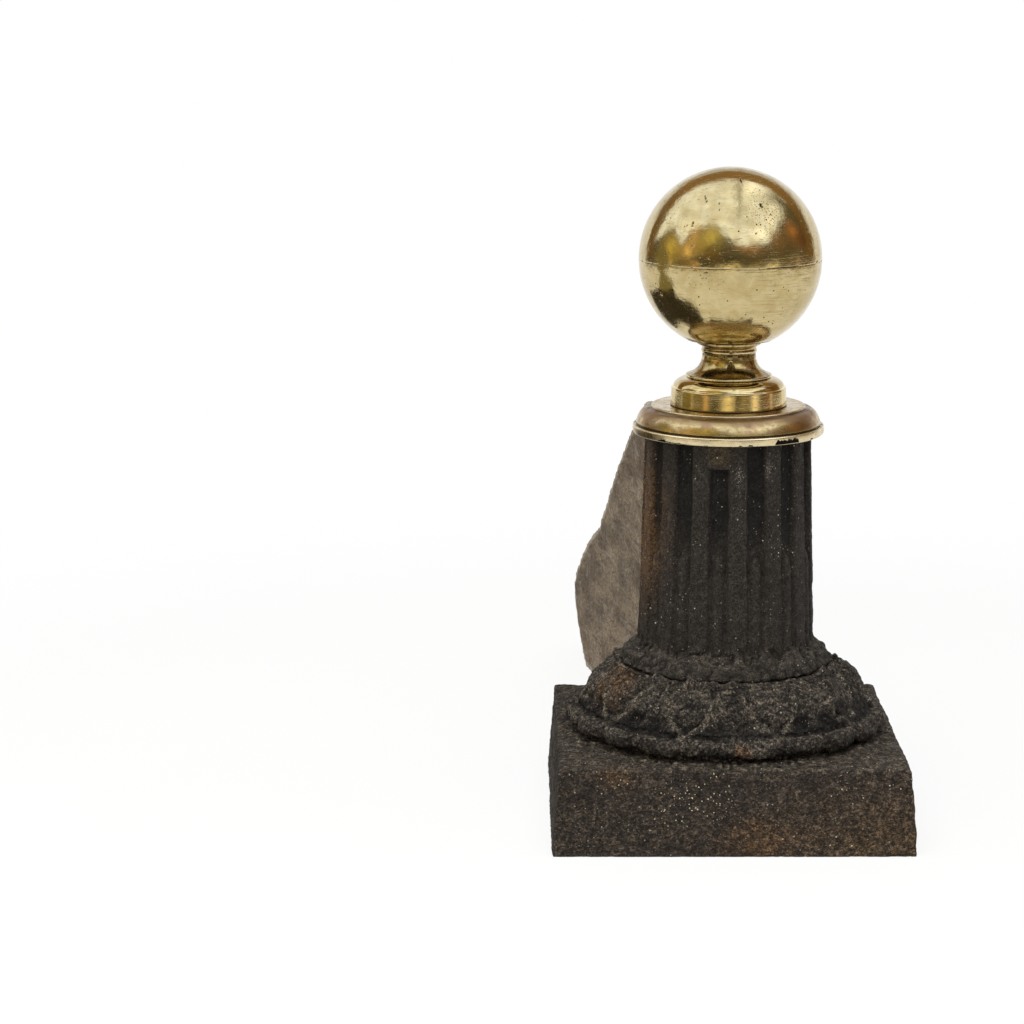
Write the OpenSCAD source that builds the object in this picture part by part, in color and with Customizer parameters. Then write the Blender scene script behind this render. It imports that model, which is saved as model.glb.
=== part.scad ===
// Andiron: a fluted cast-iron column on a square plinth, with brass mouldings and a brass ball on
// top and a flat iron tail behind. A tie rod up the middle clamps the castings together.
// Origin: the column's axis at hearth level. +Z up, the front faces -Y, the tail runs towards +Y.

/* [Plinth] */
// Width of the square plinth at the hearth
plinth_w = 178; // [160:1:200]
// Height of the plinth
plinth_h = 43; // [42:1:60]
// How far each side leans in from the hearth to the top edge
plinth_draught = 3.5; // [0:0.5:5]
// Thickness of the side walls
plinth_wall = 7; // [5:0.5:10]
// Thickness of the top
plinth_top_t = 8; // [6:0.5:10]
// Radius of the boss under the top
boss_r = 16; // [14:0.5:22]
// Depth of the boss under the top
boss_h = 3; // [1:0.5:5]

/* [Moulded base] */
// Height of the base moulding
base_h = 35; // [30:1:42]
// Largest radius of the base moulding, at its lower rim
base_r = 79; // [74:0.5:80]
// Radius of the recessed foot under the rim
base_foot_r = 72; // [66:0.5:73]
// Height of the recessed foot
base_foot_h = 3.5; // [2:0.5:6]
// Radius of the hollow inside
base_bore_r = 58; // [50:1:62]
// Thickness of the top web
base_web_t = 9; // [6:0.5:12]
// Width of the ovolo, from the shoulder's turn out to the lower rim
base_ovolo_w = 13; // [11:0.5:19]
// Depth of the shoulder's turn below the top
base_shoulder_drop = 8; // [6:0.5:11]
// How far the ovolo rises steeply above the rim
base_ovolo_rise = 10; // [6:0.5:12]
// Number of eggs round the moulding
eggs = 10; // [8:2:12]
// Width of an egg
egg_w = 25; // [20:1:28]
// How far an egg stands out of the moulding
egg_relief = 3.5; // [2:0.5:5]
// Radius of the round tip under an egg
egg_tip_r = 6; // [4:0.5:8]
// Radius of the beads round the lower rim
bead_r = 3.6; // [2:0.2:4.5]
// Length of a bead between its round ends
bead_len = 10; // [6:0.5:14]

/* [Column] */
// Height of the column, foot ring included
column_h = 126.5; // [100:0.5:150]
// Radius at the top
column_top_r = 41.8; // [38:0.1:42]
// Radius just above the foot ring
column_low_r = 44.8; // [42:0.1:48]
// Radius of the foot ring
foot_ring_r = 54; // [50:0.5:56]
// Height of the foot ring
foot_ring_h = 11; // [8:0.5:14]
// Radius of the hollow inside
column_bore_r = 33; // [28:0.5:34]
// Depth of the pocket for the nut at the top
pocket_depth = 14; // [13:0.5:24]
// Thickness of the web under the pocket
column_web_t = 8; // [5:0.5:12]
// Number of flutes
flutes = 14; // [10:1:16]
// Radius of a flute's hollow
flute_r = 5; // [3:0.1:6]
// Depth of a flute
flute_depth = 4; // [2:0.1:4.5]
// Radius of the reeds that fill the lower part of the flutes
reed_r = 4.4; // [2.5:0.1:5]
// Height of the reeds' round tops above the column's foot
reed_h = 58; // [40:1:80]
// How deep the reeds are rooted in the foot ring
reed_root = 3; // [2:0.5:5]
// How far the reeds stand out of the column
reed_proud = 0.4; // [0:0.1:1]
// Width of the small chamfer under the foot ring
ring_toe = 1; // [0.5:0.1:2]
// Turn of the column on its base
column_turn = 3.5; // [0:0.5:25]

/* [Brass cap] */
// Height of the cap
cap_h = 14; // [11:0.5:18]
// Radius of the cap's rim
cap_r = 48.2; // [46:0.1:52]
// Radius of the cap's flat top
cap_top_r = 38.6; // [34:0.1:42]
// Height of the rim band
cap_rim_h = 4; // [3:0.1:5]
// How far the cap comes down over the column
cap_overlap = 8.7; // [6:0.1:12]

/* [Brass drum] */
// Height of the drum
drum_h = 14.2; // [9:0.1:16]
// Radius of the drum at its bottom
drum_r = 29.4; // [28:0.1:34]
// Radius below the shoulder
drum_shoulder_r = 28.6; // [26:0.1:30]
// Height of the rounded shoulder
drum_shoulder_h = 5; // [2:0.5:6]
// Thickness of the drum's wall
drum_wall = 3; // [2:0.5:4]

/* [Brass neck] */
// Height of the neck
neck_h = 18.3; // [16:0.1:26]
// Radius of the thin lip at the bottom
neck_foot_r = 21.6; // [20:0.1:25]
// Radius of the waist
neck_waist_r = 13.6; // [12:0.1:16]
// Radius of the flange under the ball
neck_flange_r = 16.2; // [15:0.1:19]
// Height of that flange
neck_flange_h = 1.8; // [1:0.1:3]

/* [Brass ball] */
// Outer radius of the ball
ball_r = 45.7; // [42:0.1:50]
// Thickness of the spun shell
ball_wall = 2; // [1.5:0.1:3]
// Height of the ball's centre above its flat seat
ball_rise = 40.6; // [36:0.1:40.8]
// Thickness of the flat base of the lower half
ball_base_t = 2.5; // [2:0.1:4]
// Outer radius of the threaded bush
bush_r = 11; // [9:0.1:13]
// Radius of the bush's flange inside the ball
bush_flange_r = 15; // [14:0.5:15.5]
// Thickness of that flange
bush_flange_t = 3; // [2:0.5:4]
// Length of the bush
bush_len = 18; // [16:0.5:24]

/* [Rod and nuts] */
// Radius of the tie rod
rod_r = 6; // [5:0.25:7]
// Length of thread that the ball screws onto
ball_thread_len = 15.4; // [12:0.1:16]
// How far the rod stands out under its lower nut
rod_tail = 2; // [1:0.5:3]
// Width of the square nuts across the flats
nut_w = 20; // [18:0.5:24]
// Height of the square nuts
nut_h = 8; // [6:0.5:9]
// Outer radius of the washers under the nuts
washer_r = 14; // [13:0.5:16]
// Thickness of the washers
washer_t = 2.5; // [1.5:0.5:3]
// Thickness of the wear washer above the tail's eye
swivel_washer_t = 2; // [1:0.5:3]
// Radius of the dowels between plinth and base
dowel_r = 3; // [2:0.5:4]
// Length of a dowel
dowel_len = 13; // [8:1:14]
// Distance of a dowel from the axis
dowel_pitch_r = 65; // [63:0.5:67]

/* [Tail] */
// Thickness of the tail plate
tail_t = 12; // [8:0.5:14]
// Height of the level top edge
tail_top_z = 187; // [150:1:190]
// Where the level top ends, from the axis
tail_level_s = 157; // [120:1:175]
// Where the top curve meets the heel, from the axis
tail_dip_s = 272; // [255:1:285]
// Height of the plate there
tail_dip_z = 93; // [80:1:110]
// How far the heel reaches back from the axis
heel_s = 340; // [320:1:360]
// Height where the heel's top curve ends
heel_top_z = 48; // [42:1:56]
// Height where the heel turns under
heel_back_z = 28.5; // [20:0.5:34]
// How far that turn lies ahead of the heel's reach
heel_rake = 5.5; // [3:0.5:8]
// How far ahead of the heel's reach its top curve is pulled
heel_hook = 27; // [20:1:34]
// How far ahead of the heel's reach its lower curve is pulled
heel_under = 17; // [12:1:22]
// Back end of the foot that stands on the hearth
foot_back_s = 306; // [290:1:315]
// Front end of that foot
foot_front_s = 259; // [245:1:270]
// Height of the plate's lower edge in front of the foot
tail_low_z = 12; // [8:0.5:14]
// Radius of the arch in front of the foot
arch_r = 70; // [60:1:90]
// Height of the arch
arch_z = 22; // [18:0.5:28]
// Where the tail points at rest, from straight back
tail_angle = 11; // [0:0.5:14]
// How far the tail swings each way from straight back
tail_swing = 14; // [14:0.5:18]

/* [Fork] */
// Outer radius of the eye
eye_r = 15; // [13:0.5:16]
// Height of the forged bar and its eye
yoke_h = 14; // [12:0.5:15]
// Width of the bar between the eye and the fork
yoke_arm_w = 12; // [8:0.5:14]
// Thickness of each cheek of the fork
cheek_t = 5; // [4:0.5:7]
// Length of the cheeks along the plate
cheek_len = 42; // [36:1:50]
// Length of the solid root ahead of the plate
fork_root = 8; // [6:0.5:10]
// Radius of the rivets
rivet_r = 3.5; // [2.5:0.25:4]
// Radius of a rivet's head
rivet_head_r = 6; // [5:0.25:6.5]
// Distance between the two rivets
rivet_pitch = 20; // [16:1:24]

/* [Clearances] */
// Radial clearance of the rod in what turns on it
running_gap = 0.08; // [0.02:0.01:0.1]
// Radial clearance of the rod in the cored castings
cored_gap = 1; // [0.5:0.1:1.5]
// Clearance between faces that move past each other
face_gap = 0.25; // [0.2:0.05:0.5]
// Clearance between pieces that are riveted, pinned or capped
seat_gap = 0.1; // [0.05:0.05:0.2]
// Clearance of the tail from the plinth, base and column
tail_gap = 3; // [2:0.5:5]

/* [Hidden] */
$fn = 96;
eps = 0.01; // overcut, so that no cut ends flush with a face

// Heights of the stack, from the hearth up
base_z = plinth_h;
column_z = base_z + base_h;
column_top_z = column_z + column_h;
cap_z = column_top_z - cap_overlap;
drum_z = cap_z + cap_h;
neck_z = drum_z + drum_h;
ball_seat_z = neck_z + neck_h + face_gap;
ball_z = ball_seat_z + ball_rise;
rod_top_z = ball_seat_z + ball_thread_len;
shaft_nut_z = column_top_z - pocket_depth + washer_t;

// Heights of the clamped stack under the plinth's top, from the boss down
boss_z = plinth_h - plinth_top_t - boss_h;
swivel_washer_z = boss_z - swivel_washer_t;
yoke_z = swivel_washer_z - face_gap - yoke_h;
foot_washer_z = yoke_z - face_gap - washer_t;
foot_nut_z = foot_washer_z - nut_h;
rod_bottom_z = foot_nut_z - rod_tail;

// Holes round the rod
cored_r = rod_r + cored_gap;
running_r = rod_r + running_gap;
seat_r = rod_r + seat_gap;

// Places along the tail, measured back from the axis
plinth_side = plinth_w / 2;
root_s = (plinth_side + (tail_t / 2 + cheek_t) * sin(tail_swing)) / cos(tail_swing) + face_gap;
plate_s = root_s + fork_root;
rivet_s = plate_s + (cheek_len - rivet_pitch) / 2;
base_clear_s = max(base_r + bead_r, plinth_side - plinth_draught) + tail_gap;
ring_clear_s = foot_ring_r + 2 * tail_gap;
column_clear_s = column_low_r + 2 * tail_gap;
notch_half_w = plinth_side * tan(tail_swing) + yoke_arm_w / 2 / cos(tail_swing) + face_gap;
base_shoulder_r = base_r - base_ovolo_w;
steps = 10; // straight pieces in each curve of an outline

// Points of a curve from p0 to p2, in n pieces, that leaves and arrives along the lines to p1
function curve(p0, p1, p2, n = steps) = [for (i = [0:n])
    let (t = i / n) (1 - t) * (1 - t) * p0 + 2 * t * (1 - t) * p1 + t * t * p2];

// Points of an arc about (cx, cy), from angle a0 to a1
function arc(cx, cy, r, a0, a1) = [for (i = [0:steps])
    let (a = a0 + (a1 - a0) * i / steps) [cx + r * cos(a), cy + r * sin(a)]];

module ring(outer_r, inner_r, h) {
    difference() {
        cylinder(r = outer_r, h = h);
        translate([0, 0, -eps]) cylinder(r = inner_r, h = h + 2 * eps);
    }
}

// Square nut with blunted corners
module square_nut() {
    corner_r = 0.66 * nut_w; // a little less than the half diagonal
    intersection() {
        difference() {
            translate([-nut_w / 2, -nut_w / 2, 0]) cube([nut_w, nut_w, nut_h]);
            translate([0, 0, -eps]) cylinder(r = seat_r, h = nut_h + 2 * eps);
        }
        cylinder(r = corner_r, h = nut_h);
    }
}

// Block with a square foot whose four sides lean in by lean over its height
module leaning_block(w, h, lean) {
    side = [[-w / 2, 0], [w / 2, 0], [w / 2 - lean, h], [lean - w / 2, h]];
    intersection() {
        translate([0, w / 2, 0]) rotate([90, 0, 0]) linear_extrude(w) polygon(side);
        translate([-w / 2, 0, 0]) rotate([90, 0, 90]) linear_extrude(w) polygon(side);
    }
}

module plinth() {
    hollow_h = plinth_h - plinth_top_t;
    hollow_lean = plinth_draught * hollow_h / plinth_h;
    notch_top = yoke_z + yoke_h + face_gap;
    color([0.15, 0.14, 0.13])
    difference() {
        union() {
            difference() {
                leaning_block(plinth_w, plinth_h, plinth_draught);
                translate([0, 0, -eps])
                    leaning_block(plinth_w - 2 * plinth_wall, hollow_h, hollow_lean);
            }
            translate([0, 0, boss_z]) cylinder(r = boss_r, h = boss_h + plinth_top_t / 2);
        }
        translate([0, 0, boss_z - eps]) cylinder(r = cored_r, h = plinth_h);
        // notch in the back wall that the tail's bar swings in
        translate([-notch_half_w, plinth_side - 3 * plinth_wall, -eps])
            cube([2 * notch_half_w, 4 * plinth_wall, notch_top]);
        dowel_places() cylinder(r = dowel_r + seat_gap, h = dowel_len + 2 * seat_gap);
    }
}

// The dowels stand half in the plinth's top and half in the base, left and right of the axis
module dowel_places() {
    for (side = [-1, 1])
        translate([side * dowel_pitch_r, 0, base_z - dowel_len / 2 - seat_gap]) children();
}

module base_dowels() {
    color([0.45, 0.44, 0.43])
    dowel_places() translate([0, 0, seat_gap]) cylinder(r = dowel_r, h = dowel_len);
}

// Core of the moulded base: a seat for the column, an ovolo, and a rim over a recessed foot
module base_profile() {
    shoulder = [base_shoulder_r, base_h - base_shoulder_drop];
    shoulder_in = [foot_ring_r + 2, base_h - 1.5];
    shoulder_pull = [base_shoulder_r - 1, base_h - 2];
    rim_z = base_foot_h + bead_r;
    ovolo_pull = [base_r - 0.7 * base_ovolo_w, rim_z + base_ovolo_rise];
    web_z = base_h - base_web_t;
    fillet = 8;
    polygon(concat(
        [[cored_r, web_z], [cored_r, base_h], [foot_ring_r, base_h]],
        curve(shoulder_in, shoulder_pull, shoulder, 4),
        curve(shoulder, ovolo_pull, [base_r, rim_z], 4),
        [[base_r, base_foot_h], [base_foot_r, base_foot_h], [base_foot_r, 0], [base_bore_r, 0],
        [base_bore_r, web_z - fillet], [base_bore_r - fillet, web_z]]));
}

// Egg: a round body over a smaller round tip, both half sunk in the moulding
module egg() {
    body_r = egg_w / 2;
    tip_out = 5; // the moulding is wider at the tip than at the body
    tip_drop = body_r - 2;
    translate([0, body_r - egg_relief, 0]) sphere(r = body_r);
    translate([0, egg_tip_r - egg_relief - tip_out, -tip_drop]) sphere(r = egg_tip_r);
}

module bead() {
    rotate([0, 90, 0]) translate([0, 0, -bead_len / 2]) cylinder(r = bead_r, h = bead_len, $fn = 48);
    for (side = [-1, 1]) translate([side * bead_len / 2, 0, 0]) sphere(r = bead_r, $fn = 48);
}

module torus_base() {
    egg_z = 0.6 * base_h;
    egg_face_r = base_shoulder_r + 3;
    bead_z = base_foot_h + bead_r + 0.5; // just above the rim's lower edge
    beads = 2 * eggs;
    spigot_h = 4;
    color([0.15, 0.14, 0.13])
    translate([0, 0, base_z])
    difference() {
        union() {
            rotate_extrude() base_profile();
            // spigot that centres the column
            translate([0, 0, base_h - eps]) ring(column_bore_r - seat_gap, cored_r, spigot_h);
            for (i = [0:eggs - 1]) rotate([0, 0, (i + 0.5) * 360 / eggs])
                translate([0, -egg_face_r, egg_z]) egg();
            for (i = [0:beads - 1]) rotate([0, 0, (i + 0.5) * 360 / beads])
                translate([0, -base_r, bead_z]) bead();
        }
        translate([0, 0, -base_z]) dowel_places()
            cylinder(r = dowel_r + seat_gap, h = dowel_len + 2 * seat_gap);
    }
}

// The flutes and reeds lean inwards with the taper of the column
module round_the_column(r_low, z_low) {
    rise = column_h - foot_ring_h;
    lean = atan((column_low_r - column_top_r) / rise);
    for (i = [0:flutes - 1])
        rotate([0, 0, column_turn + (i + 0.5) * 360 / flutes])
            translate([0, -r_low, z_low]) rotate([-lean, 0, 0]) children();
}

module column_shaft() {
    rise = column_h - foot_ring_h;
    flute_len = rise - cap_overlap + cap_rim_h / 2;
    reed_z = foot_ring_h - reed_root;
    ring_top_r = column_low_r + 1.5 * reed_proud;
    color([0.15, 0.14, 0.13])
    translate([0, 0, column_z])
    difference() {
        union() {
            difference() {
                translate([0, 0, foot_ring_h])
                    cylinder(r1 = column_low_r, r2 = column_top_r, h = rise);
                round_the_column(column_low_r + flute_r - flute_depth, foot_ring_h)
                    cylinder(r = flute_r, h = flute_len, $fn = 48);
            }
            round_the_column(column_low_r + reed_proud - reed_r, reed_z) {
                cylinder(r = reed_r, h = reed_h - reed_z, $fn = 48);
                translate([0, 0, reed_h - reed_z]) sphere(r = reed_r, $fn = 48);
            }
            rotate_extrude() polygon(concat([[0, 0], [foot_ring_r - ring_toe, 0]],
                curve([foot_ring_r, ring_toe], [foot_ring_r - ring_toe, 0.75 * foot_ring_h],
                    [ring_top_r, foot_ring_h]), [[0, foot_ring_h]]));
        }
        // hollow below the web, pocket for the nut above it
        translate([0, 0, -eps])
            cylinder(r = column_bore_r, h = column_h - pocket_depth - column_web_t + eps);
        translate([0, 0, column_h - pocket_depth])
            cylinder(r = column_bore_r, h = pocket_depth + eps);
        cylinder(r = cored_r, h = column_h);
    }
}

module shaft_washer() {
    color([0.45, 0.44, 0.43])
    translate([0, 0, shaft_nut_z - washer_t]) ring(washer_r, seat_r, washer_t);
}

module shaft_nut() {
    color([0.45, 0.44, 0.43])
    translate([0, 0, shaft_nut_z]) square_nut();
}

// Cap: rim band, groove, domed ovolo, step and flat top, hollow underneath over the column
module collar_cap() {
    bore_r = column_top_r + 0.6; // clears the column where it widens under its top
    edge_r = 0.8;
    edge_at = cap_r - edge_r;
    step = 1.2;
    groove_h = 0.9;
    groove_r = cap_r - 2.3;
    ovolo_r = cap_r - 1.8;
    ovolo_z = cap_rim_h + groove_h;
    ovolo_top = cap_h - step;
    ovolo_pull = [cap_r - 3.6, ovolo_top - 0.6];
    color([0.72, 0.56, 0.24])
    translate([0, 0, cap_z]) rotate_extrude() polygon(concat(
        [[bore_r, 0], [edge_at, 0]],
        arc(edge_at, edge_r, edge_r, -90, 0),
        arc(edge_at, cap_rim_h - edge_r, edge_r, 0, 90),
        [[groove_r, cap_rim_h], [groove_r, ovolo_z]],
        curve([ovolo_r, ovolo_z], ovolo_pull, [cap_top_r + 1, ovolo_top]),
        [[cap_top_r, ovolo_top], [cap_top_r, cap_h], [cored_r, cap_h], [cored_r, cap_overlap],
        [bore_r, cap_overlap]]));
}

module pedestal_drum() {
    shoulder_z = drum_h - drum_shoulder_h;
    soft = 1.2; // roundness of the shoulder
    top_r = neck_foot_r - 0.6; // the neck's lip overhangs it
    inner_r = drum_shoulder_r - drum_wall;
    ceiling = drum_h - drum_wall;
    color([0.76, 0.60, 0.27])
    translate([0, 0, drum_z]) rotate_extrude() polygon(concat(
        [[drum_r - drum_wall, 0], [drum_r, 0]],
        curve([drum_shoulder_r, shoulder_z], [drum_shoulder_r - soft, drum_h - soft],
            [top_r, drum_h]),
        [[cored_r, drum_h], [cored_r, ceiling], [inner_r - drum_wall, ceiling],
        [inner_r, shoulder_z]]));
}

// Neck: thin lip, concave flare, waist with a bead, groove and the flange under the ball
module neck_spool() {
    lip = 0.9;
    lip_in = [neck_foot_r - 0.5, lip + 0.3];
    flare_pull = [neck_waist_r + 0.6, 0.21 * neck_h];
    waist_z = 0.55 * neck_h;
    bead_z = 0.72 * neck_h;
    bead_half_h = 1;
    bead_pull_r = neck_waist_r + 1.4;
    groove_r = neck_waist_r + 0.8;
    groove_h = 0.8;
    flange_z = neck_h - neck_flange_h;
    color([0.74, 0.58, 0.26])
    translate([0, 0, neck_z]) rotate_extrude() polygon(concat(
        [[cored_r, 0], [neck_foot_r, 0], [neck_foot_r, lip]],
        curve(lip_in, flare_pull, [neck_waist_r, waist_z]),
        curve([neck_waist_r, bead_z - bead_half_h], [bead_pull_r, bead_z],
            [neck_waist_r, bead_z + bead_half_h]),
        [[groove_r, flange_z - groove_h], [groove_r, flange_z],
        [neck_flange_r, flange_z], [neck_flange_r, neck_h], [cored_r, neck_h]]));
}

module ball_bush() {
    color([0.66, 0.50, 0.22])
    translate([0, 0, ball_seat_z]) difference() {
        union() {
            cylinder(r = bush_r, h = bush_len);
            translate([0, 0, ball_base_t + face_gap]) cylinder(r = bush_flange_r, h = bush_flange_t);
        }
        translate([0, 0, -eps]) cylinder(r = running_r, h = bush_len + 2 * eps);
    }
}

// Half of the ball's shell, cut at the equator
module half_shell(top) {
    outer = ball_r;
    inner = ball_r - ball_wall;
    rotate_extrude() intersection() {
        difference() {
            circle(r = outer);
            circle(r = inner);
        }
        translate([0, top ? 0 : -outer]) square([outer, outer]);
    }
}

module ball_lower_half() {
    flat_r = sqrt(ball_r * ball_r - ball_rise * ball_rise);
    color([0.80, 0.66, 0.34])
    translate([0, 0, ball_z]) difference() {
        union() {
            half_shell(false);
            translate([0, 0, -ball_rise]) cylinder(r = flat_r - 1, h = ball_base_t);
        }
        translate([0, 0, -2 * ball_r]) cylinder(r = ball_r, h = 2 * ball_r - ball_rise);
        translate([0, 0, -ball_rise - eps])
            cylinder(r = bush_r + running_gap, h = ball_base_t + 2 * eps);
    }
}

module ball_upper_half() {
    color([0.80, 0.66, 0.34])
    translate([0, 0, ball_z]) half_shell(true);
}

module tie_rod() {
    color([0.40, 0.39, 0.38])
    translate([0, 0, rod_bottom_z]) cylinder(r = rod_r, h = rod_top_z - rod_bottom_z);
}

module foot_nut() {
    color([0.45, 0.44, 0.43])
    translate([0, 0, foot_nut_z]) square_nut();
}

module foot_washer() {
    color([0.45, 0.44, 0.43])
    translate([0, 0, foot_washer_z]) ring(washer_r, seat_r, washer_t);
}

module swivel_washer() {
    color([0.45, 0.44, 0.43])
    translate([0, 0, swivel_washer_z]) ring(washer_r, seat_r, swivel_washer_t);
}

// Turns a drawing of (distance behind the axis, height) upright and to the tail's rest angle
module along_tail(thickness) {
    rotate([0, 0, 90 + tail_angle]) translate([0, thickness / 2, 0]) rotate([90, 0, 0])
        linear_extrude(thickness) children();
}

module rivet_places() {
    rotate([0, 0, 90 + tail_angle])
        for (i = [0, 1])
            translate([rivet_s + i * rivet_pitch, 0, yoke_z + yoke_h / 2]) rotate([90, 0, 0])
                children();
}

// Side view of the plate: front edge stepped round the plinth, base and column, level top, long
// round fall to the dip, the heel that kicks out, and the foot behind its arch
module tail_outline() {
    plinth_clear_z = plinth_h + tail_gap;
    base_clear_z = base_z + 0.55 * base_h;
    ring_clear_z = column_z + tail_gap;
    ring_rise = 12;
    level_end = [tail_level_s, tail_top_z];
    fall_pull = [(tail_level_s + tail_dip_s) / 2 - 6, 0.69 * tail_top_z + 0.31 * tail_dip_z];
    dip = [tail_dip_s, tail_dip_z];
    dip_out = dip + [3, -1];
    heel_pull = [heel_s - heel_hook, 0.62 * tail_dip_z + 0.38 * heel_top_z];
    heel_top = [heel_s, heel_top_z];
    heel_bulge = [heel_s + heel_rake, (heel_top_z + heel_back_z) / 2];
    heel_back = [heel_s - heel_rake, heel_back_z];
    under_pull = [heel_s - heel_under, 0.25 * heel_back_z];
    foot_back = [foot_back_s, 0];
    // the arch meets the hearth at the front end of the foot
    arch_s = foot_front_s - sqrt(arch_r * arch_r - pow(arch_r - arch_z, 2));
    difference() {
        polygon(concat(
            [[plate_s, tail_low_z], [plate_s, plinth_clear_z], [base_clear_s, plinth_clear_z],
            [base_clear_s, base_clear_z], [ring_clear_s, ring_clear_z],
            [column_clear_s, ring_clear_z + ring_rise], [column_clear_s, tail_top_z]],
            curve(level_end, fall_pull, dip),
            curve(dip_out, heel_pull, heel_top),
            curve(heel_top, heel_bulge, heel_back),
            curve(heel_back, under_pull, foot_back),
            [[arch_s, 0], [arch_s, tail_low_z]]));
        translate([arch_s, arch_z - arch_r]) circle(r = arch_r);
    }
}

module tail_plate() {
    color([0.36, 0.33, 0.30])
    difference() {
        along_tail(tail_t) tail_outline();
        rivet_places() translate([0, 0, -tail_t]) cylinder(r = rivet_r + seat_gap, h = 2 * tail_t);
    }
}

module tail_yoke() {
    fork_w = tail_t + 2 * (cheek_t + seat_gap);
    slot_w = tail_t + 2 * seat_gap;
    arm_s = (running_r + eye_r) / 2; // the arm starts in the eye's wall
    color([0.30, 0.28, 0.26])
    difference() {
        union() {
            translate([0, 0, yoke_z]) cylinder(r = eye_r, h = yoke_h);
            rotate([0, 0, 90 + tail_angle]) {
                translate([arm_s, -yoke_arm_w / 2, yoke_z])
                    cube([root_s + fork_root / 2 - arm_s, yoke_arm_w, yoke_h]);
                translate([root_s, -fork_w / 2, yoke_z])
                    cube([fork_root + cheek_len, fork_w, yoke_h]);
            }
        }
        translate([0, 0, yoke_z - eps]) cylinder(r = running_r, h = yoke_h + 2 * eps);
        rotate([0, 0, 90 + tail_angle]) translate([plate_s - seat_gap, -slot_w / 2, yoke_z - eps])
            cube([cheek_len + 1, slot_w, yoke_h + 2 * eps]);
        rivet_places() translate([0, 0, -fork_w]) cylinder(r = rivet_r + seat_gap, h = 2 * fork_w);
    }
}

// Each rivet: a shank through fork and plate, and a low domed head on both sides
module yoke_rivets() {
    grip = tail_t + 2 * (cheek_t + seat_gap);
    head_h = 0.55 * rivet_head_r;
    dome_r = (rivet_head_r * rivet_head_r + head_h * head_h) / (2 * head_h);
    color([0.32, 0.30, 0.28])
    rivet_places() {
        translate([0, 0, -grip / 2]) cylinder(r = rivet_r, h = grip);
        for (side = [0, 1]) mirror([0, 0, side]) translate([0, 0, grip / 2]) intersection() {
            translate([0, 0, head_h - dome_r]) sphere(r = dome_r);
            cylinder(r = rivet_head_r + 1, h = head_h + 1);
        }
    }
}

plinth();
base_dowels();
torus_base();
column_shaft();
shaft_washer();
shaft_nut();
collar_cap();
pedestal_drum();
neck_spool();
ball_bush();
ball_lower_half();
ball_upper_half();
tie_rod();
foot_nut();
foot_washer();
swivel_washer();
tail_plate();
tail_yoke();
yoke_rivets();
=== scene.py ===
"""Looks of an andiron: iron column on a square plinth, brass mouldings, a brass ball and an iron tail."""
import math

import bpy
import numpy as np
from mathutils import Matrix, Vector


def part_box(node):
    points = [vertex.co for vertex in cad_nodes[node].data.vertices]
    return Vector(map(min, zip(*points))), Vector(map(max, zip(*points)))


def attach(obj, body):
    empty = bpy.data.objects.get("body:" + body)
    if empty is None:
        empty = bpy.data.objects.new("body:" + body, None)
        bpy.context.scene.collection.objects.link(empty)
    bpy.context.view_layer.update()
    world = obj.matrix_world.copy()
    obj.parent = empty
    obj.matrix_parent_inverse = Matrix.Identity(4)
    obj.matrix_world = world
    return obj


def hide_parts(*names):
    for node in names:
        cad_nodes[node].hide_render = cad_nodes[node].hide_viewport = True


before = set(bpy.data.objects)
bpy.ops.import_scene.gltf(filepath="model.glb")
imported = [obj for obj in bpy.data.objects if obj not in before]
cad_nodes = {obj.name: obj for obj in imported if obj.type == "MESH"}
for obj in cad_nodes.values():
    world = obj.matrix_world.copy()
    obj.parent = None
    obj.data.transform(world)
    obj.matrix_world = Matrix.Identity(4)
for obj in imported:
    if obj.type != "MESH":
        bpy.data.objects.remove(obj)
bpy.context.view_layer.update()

MM = 0.001
TURN = 2 * math.pi


# ---------------------------------------------------------------- measures of the pieces, in mm

def low_and_high(node):
    """Lowest and highest corner of a CAD node, in mm."""
    low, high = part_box(node)
    return np.array(low) / MM, np.array(high) / MM


base_low, base_high = low_and_high("torus_base")
column_low, column_high = low_and_high("column_shaft")
cap_low, cap_high = low_and_high("collar_cap")
drum_low, drum_high = low_and_high("pedestal_drum")
neck_low, neck_high = low_and_high("neck_spool")
ball_low, ball_high = low_and_high("ball_lower_half")
rod_low, rod_high = low_and_high("tie_rod")

plinth_half = low_and_high("plinth")[1][0]
plinth_top = base_low[2]
spigot = 4
shoulder_z = base_high[2] - spigot
column_foot = column_low[2]
column_top = column_high[2]
column_foot_r = column_high[0]
ring_top = column_foot + 11
reed_top = column_foot + 52.5
cap_r = cap_high[0]
cap_z = cap_low[2]
cap_top = cap_high[2]
drum_r = drum_high[0]
drum_z = drum_low[2]
drum_top = drum_high[2]
neck_z = neck_low[2]
neck_low_r = neck_high[0]
neck_top = neck_high[2]
ball_r = ball_high[0]
ball_z = ball_high[2]
ball_seat = ball_low[2]
rod_r = rod_high[0]
bore_r = rod_r + 1

FLUTES = 14
COLUMN_TURN = math.radians(3.5)
STOPPED_FLUTE = math.radians(-9.36)
EGGS = 10
EGG_TURN = math.radians(-1)


# ---------------------------------------------------------------- outlines and meshes

def curve(start, pull, end, count=12):
    """Points of a curve that leaves start and reaches end along the lines to pull."""
    start, pull, end = np.array(start, float), np.array(pull, float), np.array(end, float)
    return [(1 - t) ** 2 * start + 2 * t * (1 - t) * pull + t * t * end for t in np.linspace(0, 1, count)]


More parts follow.
